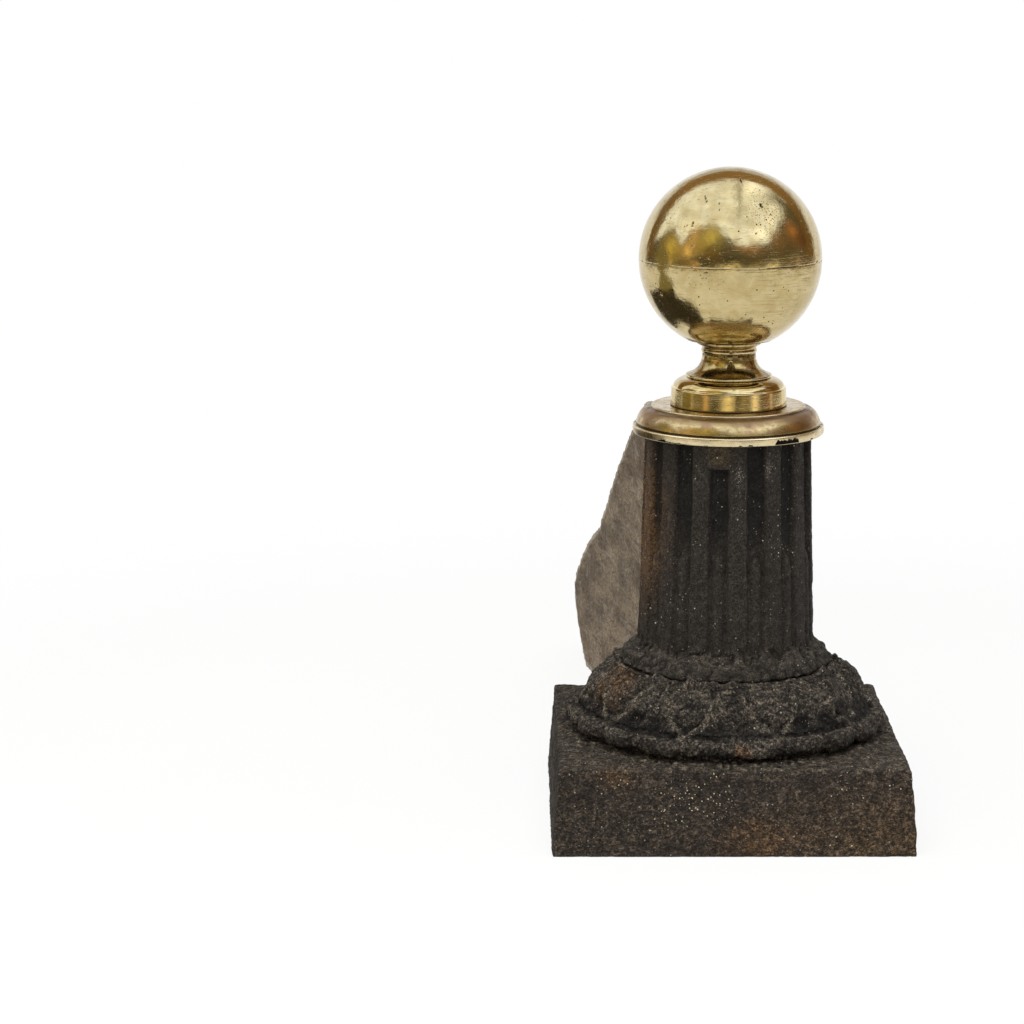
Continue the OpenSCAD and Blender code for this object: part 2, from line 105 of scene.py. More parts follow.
def rounded(corners, step):
    """Closed outline through corners (radius, height, rounding), with a point at least every step mm."""
    flat = [np.array(c[:2], float) for c in corners]
    soft = [c[2] if len(c) > 2 else 0 for c in corners]
    points = []
    for i, here in enumerate(flat):
        back, on = flat[i - 1] - here, flat[(i + 1) % len(flat)] - here
        cut = min(soft[i], 0.45 * np.linalg.norm(back), 0.45 * np.linalg.norm(on))
        if cut <= 0:
            points.append(here)
            continue
        start, end = here + back / np.linalg.norm(back) * cut, here + on / np.linalg.norm(on) * cut
        points += curve(start, here, end, 5)
    closed = []
    for i, here in enumerate(points):
        on = points[(i + 1) % len(points)]
        pieces = max(1, math.ceil(np.linalg.norm(on - here) / (step(here) if callable(step) else step)))
        closed += [here + (on - here) * k / pieces for k in range(pieces)]
    return np.array(closed)


def lumps(points, size, seed):
    """Smooth noise from -1 to 1 at points in mm, with lumps of about that size."""
    lattice = 32
    table = np.random.default_rng(seed).random((lattice,) * 3) * 2 - 1
    place = points / size
    cell = np.floor(place).astype(int)
    part = place - cell
    part = part * part * (3 - 2 * part)
    total = np.zeros(points.shape[:-1])
    for corner in np.ndindex(2, 2, 2):
        weight = np.prod(np.where(corner, part, 1 - part), axis=-1)
        total += weight * table[tuple(np.moveaxis((cell + corner) % lattice, -1, 0))]
    return total


def ramp(value, start, end):
    """0 before start, 1 after end, and smooth between them."""
    t = np.clip((value - start) / (end - start), 0, 1)
    return t * t * (3 - 2 * t)


def bell(value, width):
    return np.exp(-(value / width) ** 2)


def write_mark(mesh, mark, values):
    """Number or colour for every point of a mesh, which a finish can read."""
    values = np.asarray(values, np.float32)
    if values.shape[-1] == 4:
        mesh.attributes.new(mark, "FLOAT_COLOR", "POINT").data.foreach_set("color", values.ravel())
    else:
        mesh.attributes.new(mark, "FLOAT", "POINT").data.foreach_set("value", values.ravel())


def make_piece(name, points, quads, **marks):
    """Mesh piece from points in mm. Each mark is a number for every point, which a finish can read."""
    mesh = bpy.data.meshes.new(name)
    mesh.from_pydata((points.reshape(-1, 3) * MM).tolist(), [], quads.reshape(-1, 4).tolist())
    for mark, values in marks.items():
        write_mark(mesh, mark, values)
    mesh.shade_smooth()
    piece = bpy.data.objects.new(name, mesh)
    bpy.context.scene.collection.objects.link(piece)
    return piece


def around_points(angle, radius, height):
    return np.stack([radius * np.sin(angle), -radius * np.cos(angle), height], -1)


def ring_points(steps, along):
    """Grid of angles and of the numbers in along, one row for each of the steps round the axis."""
    return np.meshgrid(np.arange(steps) * TURN / steps, along, indexing="ij")


def open_quads(index, closed_round=True):
    """Quads between the rows and columns of a grid of points, whose last row may join the first."""
    right = np.roll(index, -1, 0) if closed_round else index[1:]
    left = index if closed_round else index[:-1]
    return np.stack([left[:, :-1], right[:, :-1], right[:, 1:], left[:, 1:]], -1)


def turned(name, outline, steps, relief=None):
    """Piece turned about the column's axis from a closed outline of (radius, height).
    relief(angle, radius, height) gives how far each point stands out of the outline, and marks for the
    finish."""
    radius, height = outline.T
    if np.sum(radius * np.roll(height, -1) - np.roll(radius, -1) * height) < 0:
        outline = outline[::-1]
        radius, height = outline.T
    along = np.roll(outline, -1, 0) - np.roll(outline, 1, 0)
    along /= np.linalg.norm(along, axis=1, keepdims=True)
    angle, radius = ring_points(steps, radius)
    height = np.broadcast_to(height, radius.shape)
    marks = {}
    if relief:
        out, marks = relief(angle, radius, height)
        radius, height = radius + out * along[:, 1], height - out * along[:, 0]
    index = np.arange(angle.size).reshape(angle.shape)
    right, up = np.roll(index, -1, 0), np.roll(index, -1, 1)
    quads = np.stack([index, right, np.roll(right, -1, 1), up], -1)
    return make_piece(name, around_points(angle, radius, height), quads, **marks)


def straight_to_front(angle):
    """Angle from the front, from minus half a turn to half a turn."""
    return (angle + math.pi) % TURN - math.pi


def spread(angle, count, turn=0.0):
    """Angle from the nearest of count places round the axis, the first half a step past turn."""
    pitch = TURN / count
    return (angle - turn) % pitch - pitch / 2


def rubble(points, size, seed):
    """Round crumbs of about that size side by side: 0 in the creases between them, about 1 at their tops."""
    return np.sqrt(np.abs(lumps(points, size, seed))) * 1.3 + 0.2 * lumps(points, 0.4 * size, seed + 1)


def creases(crumb, reach=1.0):
    """Mark for the painted shade in the creases of rubble."""
    return np.clip(reach - 1.9 * crumb, 0, 1)


def sand(points, seed, coarse=0.3, fine=0.12, cracks=0.0):
    """Skin of a sand casting: lumps a few mm across with fine grain on them, and thin cracks."""
    skin = coarse * lumps(points, 5.5, seed) + 0.6 * coarse * lumps(points, 2.6, seed + 1)
    skin += fine * lumps(points, 1.1, seed + 2)
    wander = lumps(points, 4.6, seed + 3) + 0.5 * lumps(points, 2.1, seed + 4)
    return skin - cracks * bell(wander, 0.11) * ramp(lumps(points, 13, seed + 5), -0.2, 0.3)


# ---------------------------------------------------------------- iron castings

def column_outline():
    """Foot ring, tapering shaft, and the hollow below and above the web."""
    low_r, top_r, core_r = 44.8, 41.8, 33
    web = column_top - 22
    pocket = column_top - 14
    outer = [(column_foot_r - 1.2, column_foot, 0.8), (column_foot_r - 0.4, column_foot + 1.5, 0.8)]
    outer += curve((column_foot_r - 0.9, column_foot + 2.5), (column_foot_r - 3, column_foot + 8),
                   (45.8, ring_top - 1), 7)
    outer += [(low_r, ring_top + 1, 1), (top_r, column_top, 0.6)]
    inner = [(core_r, column_top, 0.5), (core_r, pocket, 0.5), (bore_r, pocket), (bore_r, web),
             (core_r, web, 2), (core_r, column_foot, 0.5)]

    def step(place):
        return 1.0 if place[0] > core_r + 2 and place[1] > column_foot + 0.2 else 8

    return rounded(outer + inner, step)


def column_relief(angle, radius, height):
    """Flutes, the reeds that fill their lower part, one flute that stops short, and the crusted foot."""
    flute_deep, reed_r = 3.3, 4.2
    short_top = column_top - 21
    outer = ramp(radius, 38, 40)
    points = around_points(angle, radius, height)
    from_flute = spread(angle, FLUTES, COLUMN_TURN)
    across = np.abs(from_flute) * radius
    wobble = 0.5 * lumps(points, 9, 5)
    wall = 1 - ramp(across + wobble, 4.1, 5.4)
    floor = 0.35 * (across / 4.5) ** 2 - flute_deep
    stopped = np.abs(straight_to_front(angle) - from_flute - STOPPED_FLUTE) < 0.05
    stop = np.where(stopped, 1 - ramp(height + 0.4 * wobble, short_top - 0.7, short_top + 0.7), 1)
    shaft = ramp(height, ring_top - 1.5, ring_top + 3)
    flute = wall * floor * stop * shaft * (1 - 0.45 * ramp(reed_top - height, -2, 3))
    over = 0.45 * np.clip(height - reed_top, 0, None)
    reed = np.sqrt(np.clip(reed_r ** 2 - across ** 2 - over ** 2, 0, None)) - reed_r - 0.1
    reed = np.where(over < reed_r, reed, -9) * ramp(height, ring_top - 2, ring_top + 2)
    reed = np.where(across < reed_r, reed, -9)
    cut = np.where(flute < -0.01, np.maximum(flute, reed), flute)
    free = 1 - ramp(height, cap_z - 1, cap_z + 2)
    rough = sand(points, 11, 0.24, 0.13, 0.15) * (0.25 + 0.75 * free)
    ring = 1 - ramp(height, ring_top - 3, ring_top + 2)
    foot = np.maximum(ring * 0.8, bell(height - ring_top, 4))
    crumb = rubble(points, 4.2, 21)
    crust = foot * (1.9 * crumb - 1.1 + 0.6 * sand(points, 15, 0.6, 0.4, 0.8))
    # hollow: where the finish paints shade into the flutes, weaker down towards the reeds; crease: painted
    # shade in the foot's crust
    hollow = np.clip(-cut / 3.2, 0, 1) * (0.35 + 0.65 * ramp(height, reed_top, reed_top + 38))
    kept = cut * free + np.where(free < 0.5, np.minimum(cut, 0), 0) * (1 - free)
    low_down = np.clip(foot, 0, 1) * outer
    return outer * (kept + rough - 0.25 + crust), {
        "hollow": hollow * outer, "crust": 0.35 * low_down, "shaded_crease": creases(crumb, 1.3) * low_down}


def base_outline():
    """Row of beads, a neck, the ovolo's face, its shoulder, the spigot and the hollow inside."""
    low = plinth_top
    outer = [(71.5, low, 0.5), (72.0, low + 2.3, 1), (75.5, low + 3.6, 1), (78.4, low + 5.2, 1.4),
             (79.2, low + 7.4, 1.6), (78.4, low + 9.8, 1.5), (76.6, low + 12.4, 1), (75.6, low + 15.2, 1),
             (72.4, low + 17.2, 1)]
    outer += curve((70.8, low + 18.2), (67.3, low + 27.2), (57.8, low + 32.2), 12)
    outer += [(55.4, shoulder_z - 1.4, 1), (53, shoulder_z - 0.4, 0.5), (33, shoulder_z, 0.3)]
    inner = [(32.8, shoulder_z + 3.9, 0.3), (bore_r, shoulder_z + 3.9), (bore_r, shoulder_z - 9),
             (50, shoulder_z - 9, 4), (58, shoulder_z - 17, 4), (58, low, 0.5)]

    def step(place):
        if place[0] > 59:
            return 0.62
        return 0.8 if place[0] > 52 and place[1] > shoulder_z - 5 else 6

    return rounded(outer + inner, step)


def egg_and_dart(points, angle, radius, wander, down):
    """How far eggs, husks and darts stand out, how deep the ground lies by the darts, and the husks alone.
    wander is how far the pattern strays round the axis, and down the distance down the face."""
    egg_top, egg_wide, egg_low, tip = 5, 13, 26, 33.5
    from_egg = (spread(angle, EGGS, EGG_TURN) + wander) * radius
    from_dart = (spread(angle, EGGS, EGG_TURN + math.pi / EGGS) + wander) * radius
    shape = np.where(down < egg_wide, (egg_wide - down) / (egg_wide - 1),
                     (down - egg_wide) / (egg_low - egg_wide))
    egg_w = 10.5 * np.sqrt(np.clip(1 - np.clip(shape, 0, 1) ** 2, 0.0, 1))
    dome = np.clip(1 - (from_egg / np.maximum(egg_w, 0.5)) ** 2, 0, 1) * (down < egg_low)
    egg = 2.9 * dome ** 0.35 * np.clip((egg_low - down) / 6, 0, 1) ** 0.5 * ramp(down, 0, egg_top + 2)
    reach = np.clip((down - 4) / (tip - 4), 0, 1)
    husk_w = 13.8 * (1 - reach ** 2.4)
    from_husk = (np.abs(from_egg) - husk_w) * (0.42 + 0.58 * (1 - reach))
    husk = 2.9 * bell(from_husk, 1.5) * ramp(down, 0, 8) * (1 - ramp(down, tip, tip + 2))
    dart_w = 1.3 + 2.8 * ramp(down, 20, 32)
    dart = 1.9 * bell(from_dart, dart_w) * ramp(down, 6, 16) * (1 - ramp(down, 33, 36))
    deep = ramp(down, 17, 26) * (1 - ramp(down, 33, 36))
    ground = -0.6 * ramp(down, 3, 9) - 1.9 * deep
    corner = -1.2 * bell(down - 29, 4) * bell(np.abs(from_dart) - 6.5, 3.4)
    worn = 0.75 + 0.5 * lumps(points, 15, 31)
    raised = np.maximum(egg, np.maximum(husk, dart)) + ground * (egg < 0.3) + corner
    return raised * worn * (1 - ramp(down, 35, 38)), deep, husk


def beads(points, angle, radius, wander, over):
    """Worn beads along the moulding's lower edge. over is the height over the plinth."""
    sideways = np.abs(spread(angle, 2 * EGGS, EGG_TURN) + 1.5 * wander) * radius / 9.6
    upright = (over - 8.4 + 0.8 * lumps(points, 7, 36)) / 4.2
    broken = np.clip(0.7 + 1.2 * lumps(points, 11, 37), 0.05, 1.3)
    return 2.6 * np.clip(1 - sideways ** 4, 0, 1) ** 0.5 * np.clip(1 - upright ** 4, 0, 1) ** 0.5 * broken


def base_relief(angle, radius, height):
    """Worn egg and dart under a crust, with beads along the lower edge and a bank of soot on the shoulder."""
    points = around_points(angle, radius, height)
    over = height - plinth_top
    side = ramp(radius, 57, 61)
    inside = ramp(radius, 52, 54.5)
    wander = 0.8 * lumps(points, 9, 34) / radius
    # distance down the face from the shoulder, about as the surface runs
    down = (shoulder_z - height) + 0.45 * (radius - 52) + 0.5 * lumps(points, 12, 33)
    carved, deep, husk = egg_and_dart(points, angle, radius, wander, down)
    groove = bell(over - 14.4, 1.4)
    ornament = carved + beads(points, angle, radius, wander, over) - 1.1 * groove
    shoulder = bell(down - 0.5, 4)
    soot = np.clip(0.7 + 1.3 * lumps(points, 5, 55), 0, 2)
    bank = 3.0 * bell(radius - 55.0, 2.6) * (height > shoulder_z - 4) * soot
    foot = bell(over - 1.0, 2.4)
    below = ramp(17 - over, 0, 6)
    crumb = rubble(points, 4.4, 51)
    crust = (0.5 + 0.9 * shoulder + 0.7 * foot + 0.2 * below) * (crumb - 0.75)
    rough = sand(points, 41, 0.5, 0.35, 0.9) + crust + bank
    # hollow: where the finish paints shade into the ground by the darts and along the groove; crease: painted
    # shade in the crust
    hollow = np.clip(0.3 - ornament / 3.4, 0, 1) * (0.35 + 0.65 * np.maximum(deep, bell(over - 14.4, 2)))
    # ridge: the husks, which the finish paints paler with khaki dust and a painted highlight
    return side * ornament + inside * rough, {
        "hollow": hollow * side, "crust": np.clip(shoulder + foot, 0, 1) * inside,
        "ridge": np.clip(husk / 2.0, 0, 1) * side, "shaded_crease": creases(crumb) * inside}


def worn_copy(node, voxel, soft):
    """Mesh of a CAD node on an even grid of voxel mm, with its edges worn round in soft passes."""
    source = cad_nodes[node]
    copy = source.copy()
    copy.data = source.data.copy()
    copy.parent = None
    bpy.context.scene.collection.objects.link(copy)
    remesh = copy.modifiers.new("even_grid", "REMESH")
    remesh.mode = "VOXEL"
    remesh.voxel_size = voxel * MM
    wear = copy.modifiers.new("worn_edges", "SMOOTH")
    wear.factor = 0.5
    wear.iterations = soft
    view = bpy.context.evaluated_depsgraph_get()
    mesh = bpy.data.meshes.new_from_object(copy.evaluated_get(view))
    bpy.data.objects.remove(copy)
    return mesh


def read_numbers(items, what, wide, kind=float):
    """Numbers of all points or edges of a mesh, one row each."""
    numbers = np.zeros(len(items) * wide, kind)
    items.foreach_get(what, numbers)
    return numbers.reshape(-1, wide)


def calmed(points, edges, rounds=8):
    """Points drawn towards their neighbours."""
    count = len(points)
    for _ in range(rounds):
        total, near = np.zeros_like(points), np.zeros(count)
        for a, b in ((0, 1), (1, 0)):
            for axis in range(3):
                total[:, axis] += np.bincount(edges[:, a], points[edges[:, b], axis], count)
            near += np.bincount(edges[:, a], minlength=count)
        points = total / near[:, None]
    return points


def cast_from(node, name, voxel, soft, skin, seed):
    """Copy of a CAD node with worn edges and the skin of a casting or forging on it. Sizes in mm."""
    mesh = worn_copy(node, voxel, soft)
    mesh.name = name
    points = read_numbers(mesh.vertices, "co", 3) / MM
    normals = read_numbers(mesh.vertex_normals, "vector", 3)
    edges = read_numbers(mesh.edges, "vertices", 2, int)
    # hollow: how far a point lies in a hollow, where cast_iron paints shade; edge, its opposite, marks convex
    # edges for the tail's painted highlight
    hollow = np.clip(((calmed(points, edges) - points) * normals).sum(1) / voxel * 1.6, -1, 1)
    out, marks = skin(points, normals, seed)
    points = points + normals * out[:, None]
    points[:, 2] = np.maximum(points[:, 2], 0)
    mesh.vertices.foreach_set("co", (points * MM).ravel())
    for mark, values in {"hollow": np.clip(hollow, 0, 1), "edge": np.clip(-hollow, 0, 1), **marks}.items():
        write_mark(mesh, mark, values)
    mesh.materials.clear()
    mesh.shade_smooth()
    mesh.update()
    piece = bpy.data.objects.new(name, mesh)
    bpy.context.scene.collection.objects.link(piece)
    return piece


def off_the_floor(points):
    """0 at the hearth, where the casting stays flat, and 1 above it."""
    return ramp(points[:, 2], 0.4, 2.5)


def plinth_skin(points, normals, seed):
    """Sand skin with low swells, chipped edges, and debris on the top round the moulding's foot."""
    radius = np.hypot(points[:, 0], points[:, 1])
    on_top = ramp(normals[:, 2], 0.5, 0.9) * ramp(points[:, 2], plinth_top - 3, plinth_top - 1)
    crumb = rubble(points, 3.6, seed + 5)
    debris = on_top * (0.3 + bell(radius - 78, 8)) * (crumb - 0.35)
    seated = on_top * (1 - ramp(radius, 69, 73))
    outside = ramp(np.abs(points[:, :2]).max(1), plinth_half - 12, plinth_half - 8)
    rough = sand(points, seed, 0.3, 0.25, 0.3) + 0.3 * lumps(points, 22, seed + 7)
    rough = rough + 0.5 * outside * (1 - on_top)
    out = rough * (1 - seated) * (0.4 + 0.6 * off_the_floor(points)) - 0.1 * seated + 1.2 * debris
    # crease: painted shade in the creases of the debris on the top
    return out, {"crust": np.clip(debris, 0, 1), "shaded_crease": on_top * creases(crumb)}


def tail_skin(points, normals, seed):
    """Burnt casting: shallow scabs and pits, flat under the heel."""
    rough = sand(points, seed, 0.3, 0.12) + 0.35 * lumps(points, 14, seed + 7) - 0.3
    return rough * off_the_floor(points), {}


def forged_skin(points, normals, seed):
    """Flats that a hammer left."""
    return 0.18 * lumps(points, 6, seed) - 0.12 + 0.05 * lumps(points, 1.5, seed + 1), {}


# ---------------------------------------------------------------- brass

def finer_outside(radius, fine, coarse):
    """Step for rounded(): fine where the outline can be seen, past that radius."""
    return lambda place: fine if place[0] > radius else coarse


def cap_outline():
    """Rim band, groove, domed ovolo, a step and the flat top, hollow over the column."""
    rim = cap_z + 4
    dome_r = cap_r - 1.8
    inner_r, inner_top = 42.5, cap_z + 8.8
    corners = [(inner_r, cap_z, 0.3), (cap_r - 0.4, cap_z, 0.8), (cap_r - 0.05, cap_z + 1.7, 0.8),
               (cap_r - 0.1, rim - 0.2, 0.7), (cap_r - 0.9, rim + 0.3, 0.3), (dome_r - 0.5, rim + 0.4, 0.2),
               (dome_r - 0.5, rim + 0.9, 0.2)]
    corners += curve((dome_r, rim + 1.1), (cap_r - 3.6, cap_top - 1.8), (39.8, cap_top - 1.25), 14)
    corners += [(39.2, cap_top - 1.35, 0.3), (38.7, cap_top - 0.3, 0.4), (38.0, cap_top, 0.4),
                (36.6, cap_top - 0.1, 0.3), (30.8, cap_top - 0.15, 0.2), (bore_r, cap_top - 0.15),
                (bore_r, inner_top), (inner_r, inner_top, 0.3)]
    return rounded(corners, finer_outside(30, 0.5, 4))


def drum_outline():
    """Tapering side, an edge, and a rounded shoulder up to the neck's lip."""
    edge = drum_top - 5
    lip_r = neck_low_r - 0.6
    corners = [(drum_r - 3, drum_z, 0.3), (drum_r - 0.1, drum_z, 0.4), (drum_r - 0.2, drum_z + 1, 0.4),
               (drum_r - 0.62, edge - 0.2, 0.4), (drum_r - 1.5, edge + 0.15, 0.25)]
    corners += curve((drum_r - 1.6, edge + 0.5), (drum_r - 2.4, drum_top - 1.3),
                     (lip_r + 0.3, drum_top - 0.1), 12)
    corners += [(lip_r, drum_top, 0.1), (bore_r, drum_top), (bore_r, drum_top - 3), (22, drum_top - 3, 1),
                (25.4, drum_z + 8, 1)]
    return rounded(corners, finer_outside(20, 0.45, 3))


def neck_outline():
    """Round lip, concave flare, waist, a bead between two grooves, and the flange under the ball."""
    tall = neck_top - neck_z
    waist_r, flange_r = 13.5, 16.2
    groove, bead = neck_z + 0.63 * tall, neck_z + 0.73 * tall
    corners = [(bore_r, neck_z), (neck_low_r - 0.5, neck_z, 0.15), (neck_low_r, neck_z + 0.5, 0.3),
               (neck_low_r - 0.1, neck_z + 1.1, 0.3), (neck_low_r - 0.5, neck_z + 1.4, 0.2)]
    corners += curve((neck_low_r - 0.9, neck_z + 1.45), (waist_r + 0.4, neck_z + 0.22 * tall),
                     (waist_r, groove - 1), 16)
    corners += [(waist_r - 0.1, groove, 0.3), (waist_r - 0.3, groove + 0.3, 0.1)]
    corners += curve((waist_r, groove + 0.7), (waist_r + 0.9, bead), (waist_r + 0.1, bead + 0.9), 6)
    corners += curve((waist_r, bead + 1.2), (waist_r + 0.3, neck_top - 2.6),
                     (flange_r - 0.9, neck_top - 1.9), 7)
    corners += [(flange_r - 0.1, neck_top - 1.6, 0.3), (flange_r, neck_top - 0.4, 0.3),
                (flange_r - 0.3, neck_top, 0.1), (bore_r, neck_top)]
    return rounded(corners, finer_outside(12, 0.4, 3))


def dents(places, radius_at):
    """relief() with round dents at places, each an angle in degrees, a height, a radius and a depth in mm."""
    def relief(angle, radius, height):
        out, pit = np.zeros_like(radius), np.zeros_like(radius)
        for turn, z, wide, deep in places:
            away = np.hypot(straight_to_front(angle - math.radians(turn)) * radius_at, height - z) / wide
            shown = np.clip(1 - away ** 2, 0, 1)
            out -= deep * np.sqrt(shown) * (radius > 0.5 * radius_at)
            pit = np.maximum(pit, ramp(shown, 0.05, 0.5))
        return out, {"pit": pit}
    return relief


def ball_outline(top):
    """Half of the spun shell. Its edge at the seam is a little soft, so that the joint shows as a line."""
    wall, seam = 2.0, 0.05
    inner_r = ball_r - wall
    bush_r = 11.08
    outer_steps, inner_steps = 130, 20
    side = math.pi / 2

    def arc(radius, start, end, steps):
        """Arc of the shell, from angle start to end off the upright."""
        return [(radius * math.sin(a), ball_z + radius * math.cos(a)) for a in np.linspace(start, end, steps)]

    if top:
        outer = arc(ball_r, 0.002, side - 0.0015, outer_steps)
        return np.array(outer + [(ball_r - seam, ball_z + 0.01)] + arc(inner_r, side, 0.002, inner_steps))
    end = math.acos((ball_seat - ball_z) / ball_r)
    outer = [(ball_r - seam, ball_z)] + arc(ball_r, side + 0.0015, end - 0.01, outer_steps)
    seat = [(ball_r * math.sin(end) - 0.7, ball_seat), (bush_r, ball_seat), (bush_r, ball_seat + 2.5)]
    return np.array(outer + seat + arc(inner_r, end - 0.03, side, inner_steps))


def rod_piece():
    """Tie rod with a cut thread at its top and foot."""
    pitch, depth = 2.0, 0.65
    thread_long, step, steps = 22, 0.33, 48
    low, top = rod_low[2], rod_high[2]
    foot_end, head_start = low + thread_long, top - thread_long
    height = [low] * 2 + list(np.arange(low, foot_end, step)) + list(np.linspace(foot_end, head_start, 12))
    height += list(np.arange(head_start + step, top, step)) + [top] * 2
    angle, height = ring_points(steps, np.array(height))
    phase = (height / pitch + angle / TURN) % 1
    cut = depth * (1 - np.abs(2 * phase - 1))
    threaded = ramp(height, head_start, head_start + 2) + 1 - ramp(height, foot_end - 2, foot_end)
    radius = rod_r - 0.02 - np.clip(cut, 0.06, depth - 0.06) * threaded
    chamfer = 1 - np.minimum(ramp(height, low - 0.1, low + 1), 1 - ramp(height, top - 1, top + 0.1))
    radius = radius - 0.5 * chamfer
    radius[:, 0] = radius[:, -1] = 0.02
    index = np.arange(angle.size).reshape(angle.shape)
    return make_piece("threaded_rod", around_points(angle, radius, height), open_quads(index))


# ---------------------------------------------------------------- finishes

class Wire:
    """The output of a node. A sum written with it adds the Math node, or the Vector Math node for a vector or
    colour."""

    def __init__(self, nodes, socket):
        self.nodes, self.socket = nodes, socket

    def work(self, operation, *terms):
        vector = any(isinstance(t, Wire) and t.socket.type in ("VECTOR", "RGBA") for t in terms)
        kind = "ShaderNodeVectorMath" if vector else "ShaderNodeMath"
        return self.nodes.node(kind, {"operation": operation}, terms)

    def __add__(self, other):
        return self.work("ADD", self, other)

    def __mul__(self, other):
        return self.work("MULTIPLY", self, other)

    def __sub__(self, other):
        return self.work("SUBTRACT", self, other)

    def __rsub__(self, other):
        return self.work("SUBTRACT", other, self)

    def __abs__(self):
        return self.work("ABSOLUTE", self)

    __radd__, __rmul__ = __add__, __mul__

    def most(self, other):
        return self.work("MAXIMUM", self, other)

    def output(self, name):
        """Another output of the same node."""
        return Wire(self.nodes, self.socket.node.outputs[name])

    def from_to(self, start, end, low=0.0, high=1.0):
        """low where the value is at start or before, high at end or past it, and smooth between them."""
        smooth = {"interpolation_type": "SMOOTHSTEP"}
        return self.nodes.node("ShaderNodeMapRange", smooth, [self, start, end, low, high])


class Nodes:
    """The nodes of a material or of the world."""

    def __init__(self, tree):
        self.tree = tree

    def node(self, kind, settings, values, output=0):
        """Any node: its kind, its settings and each socket's value or wire. Returns the wire of an output."""
        made = self.tree.nodes.new(kind)
        for name, value in settings.items():
            setattr(made, name, value)
        for key, value in values.items() if isinstance(values, dict) else enumerate(values):
            self.feed(made.inputs[key], value)
        return Wire(self, made.outputs[output])

    def feed(self, socket, value):
        if isinstance(value, Wire):
            self.tree.links.new(value.socket, socket)
        elif socket.type == "VECTOR" and not hasattr(value, "__len__"):
            socket.default_value = (value,) * 3
        elif socket.type == "RGBA":
            socket.default_value = (*value, 1)
        else:
            socket.default_value = value

    def end(self, kind, shader):
        """Puts the shader out through the tree's output node of that kind."""
        self.feed(self.tree.nodes[kind].inputs["Surface"], shader)

    def seen_straight(self):
        """1 for rays from the camera, and for rays by which metal and glass show what is around them."""
        ray = self.node("ShaderNodeLightPath", {}, {}, "Is Camera Ray")
        return ray.most(ray.output("Is Glossy Ray")).most(ray.output("Is Transmission Ray"))

    def pick_shader(self, share, first, second):
        return self.node("ShaderNodeMixShader", {}, [share, first, second])


class Finish(Nodes):
    """A material, and the ways to paint it."""

    def __init__(self, name, **constants):
        self.material = bpy.data.materials.new(name)
        self.material.use_nodes = True
        super().__init__(self.material.node_tree)
        self.surface = self.tree.nodes["Principled BSDF"]
        for socket, value in constants.items():
            self.feed(self.surface.inputs[socket.replace("_", " ")], value)
        self.place = self.node("ShaderNodeTexCoord", {}, {}, "Object")

    def blend(self, share, below, above):
        """Colour below, with colour above laid over it by share."""
        return self.node("ShaderNodeMix", {"data_type": "RGBA"}, {0: share, 6: below, 7: above}, 2)

    def noise(self, size, detail=3, rough=0.55, stretch=(1, 1, 1), twist=0.0, shift=0.0):
        """Cloudy value about 0.5, clouds about size mm big, longer along an axis where stretch is under 1."""
        place = self.place * tuple(stretch) + shift
        sockets = {"Vector": place, "Scale": 1 / (size * MM), "Detail": detail, "Roughness": rough,
                   "Distortion": twist}
        return self.node("ShaderNodeTexNoise", {}, sockets)

    def grains(self, size, share, shift=0.0):
        """Small round spots about size mm apart, on that share of the places: how far from the middle, and
        which have one."""
        sockets = {"Vector": self.place + shift, "Scale": 1 / (size * MM)}
        spot = self.node("ShaderNodeTexVoronoi", {}, sockets, "Distance")
        lucky = self.node("ShaderNodeSeparateColor", {}, [spot.output("Color")]).from_to(share, share - 0.02)
        return spot, lucky

    def crumbs(self, size, shift=0.0, stretch=(1, 1, 1)):
        """Uneven grit of about size mm: how far from each grain's middle, and its own tone from 0 to 1."""
        place = self.place * tuple(stretch) + shift
        scale = 1 / (size * MM)
        cloud = {"Vector": place, "Scale": 0.8 * scale, "Detail": 3}
        drift = (self.node("ShaderNodeTexNoise", {}, cloud, "Color") - 0.5) * (size * MM)
        spot = self.node("ShaderNodeTexVoronoi", {}, {"Vector": place + drift, "Scale": scale}, "Distance")
        return spot, self.node("ShaderNodeSeparateColor", {}, [spot.output("Color")])

    def near(self, place, reach, tall=1.0):
        """1 at a place in mm, falling to 0 at reach mm from it, or tall times as far up and down."""
        squash = (1, 1, 1 / tall)
        middle = tuple(v * MM * s for v, s in zip(place, squash))
        distance = {"operation": "DISTANCE"}
        away = self.node("ShaderNodeVectorMath", distance, [self.place * squash, middle], "Value")
        return away.from_to(reach * MM, 0)

    def height(self):
        """Height over the hearth, in metres."""
        return self.node("ShaderNodeSeparateXYZ", {}, [self.place], "Z")

    def line(self, z, half):
        """1 at a height in mm, falling to 0 at half mm above and below it."""
        return abs(self.height() - z * MM).from_to(half * MM, 0.3 * half * MM)

    def above(self, low, high):
        """0 below low and 1 above high, or the other way round, in mm."""
        return self.height().from_to(low * MM, high * MM)

    def mark(self, name, output="Fac"):
        """A number or colour that the mesh carries for every point."""
        return self.node("ShaderNodeAttribute", {"attribute_name": name}, {}, output)

    def upward(self):
        """1 on faces that look up."""
        normal = self.node("ShaderNodeNewGeometry", {}, {}, "Normal")
        return self.node("ShaderNodeSeparateXYZ", {}, [normal], "Z").from_to(0.25, 0.9)

    def paint(self, colour, roughness, height, metallic=None):
        """height is in mm."""
        self.feed(self.surface.inputs["Base Color"], colour)
        self.feed(self.surface.inputs["Roughness"], roughness)
        if metallic is not None:
            self.feed(self.surface.inputs["Metallic"], metallic)
        bump = self.node("ShaderNodeBump", {}, {"Height": height, "Distance": MM, "Strength": 1.0})
        self.feed(self.surface.inputs["Normal"], bump)
        return self.material


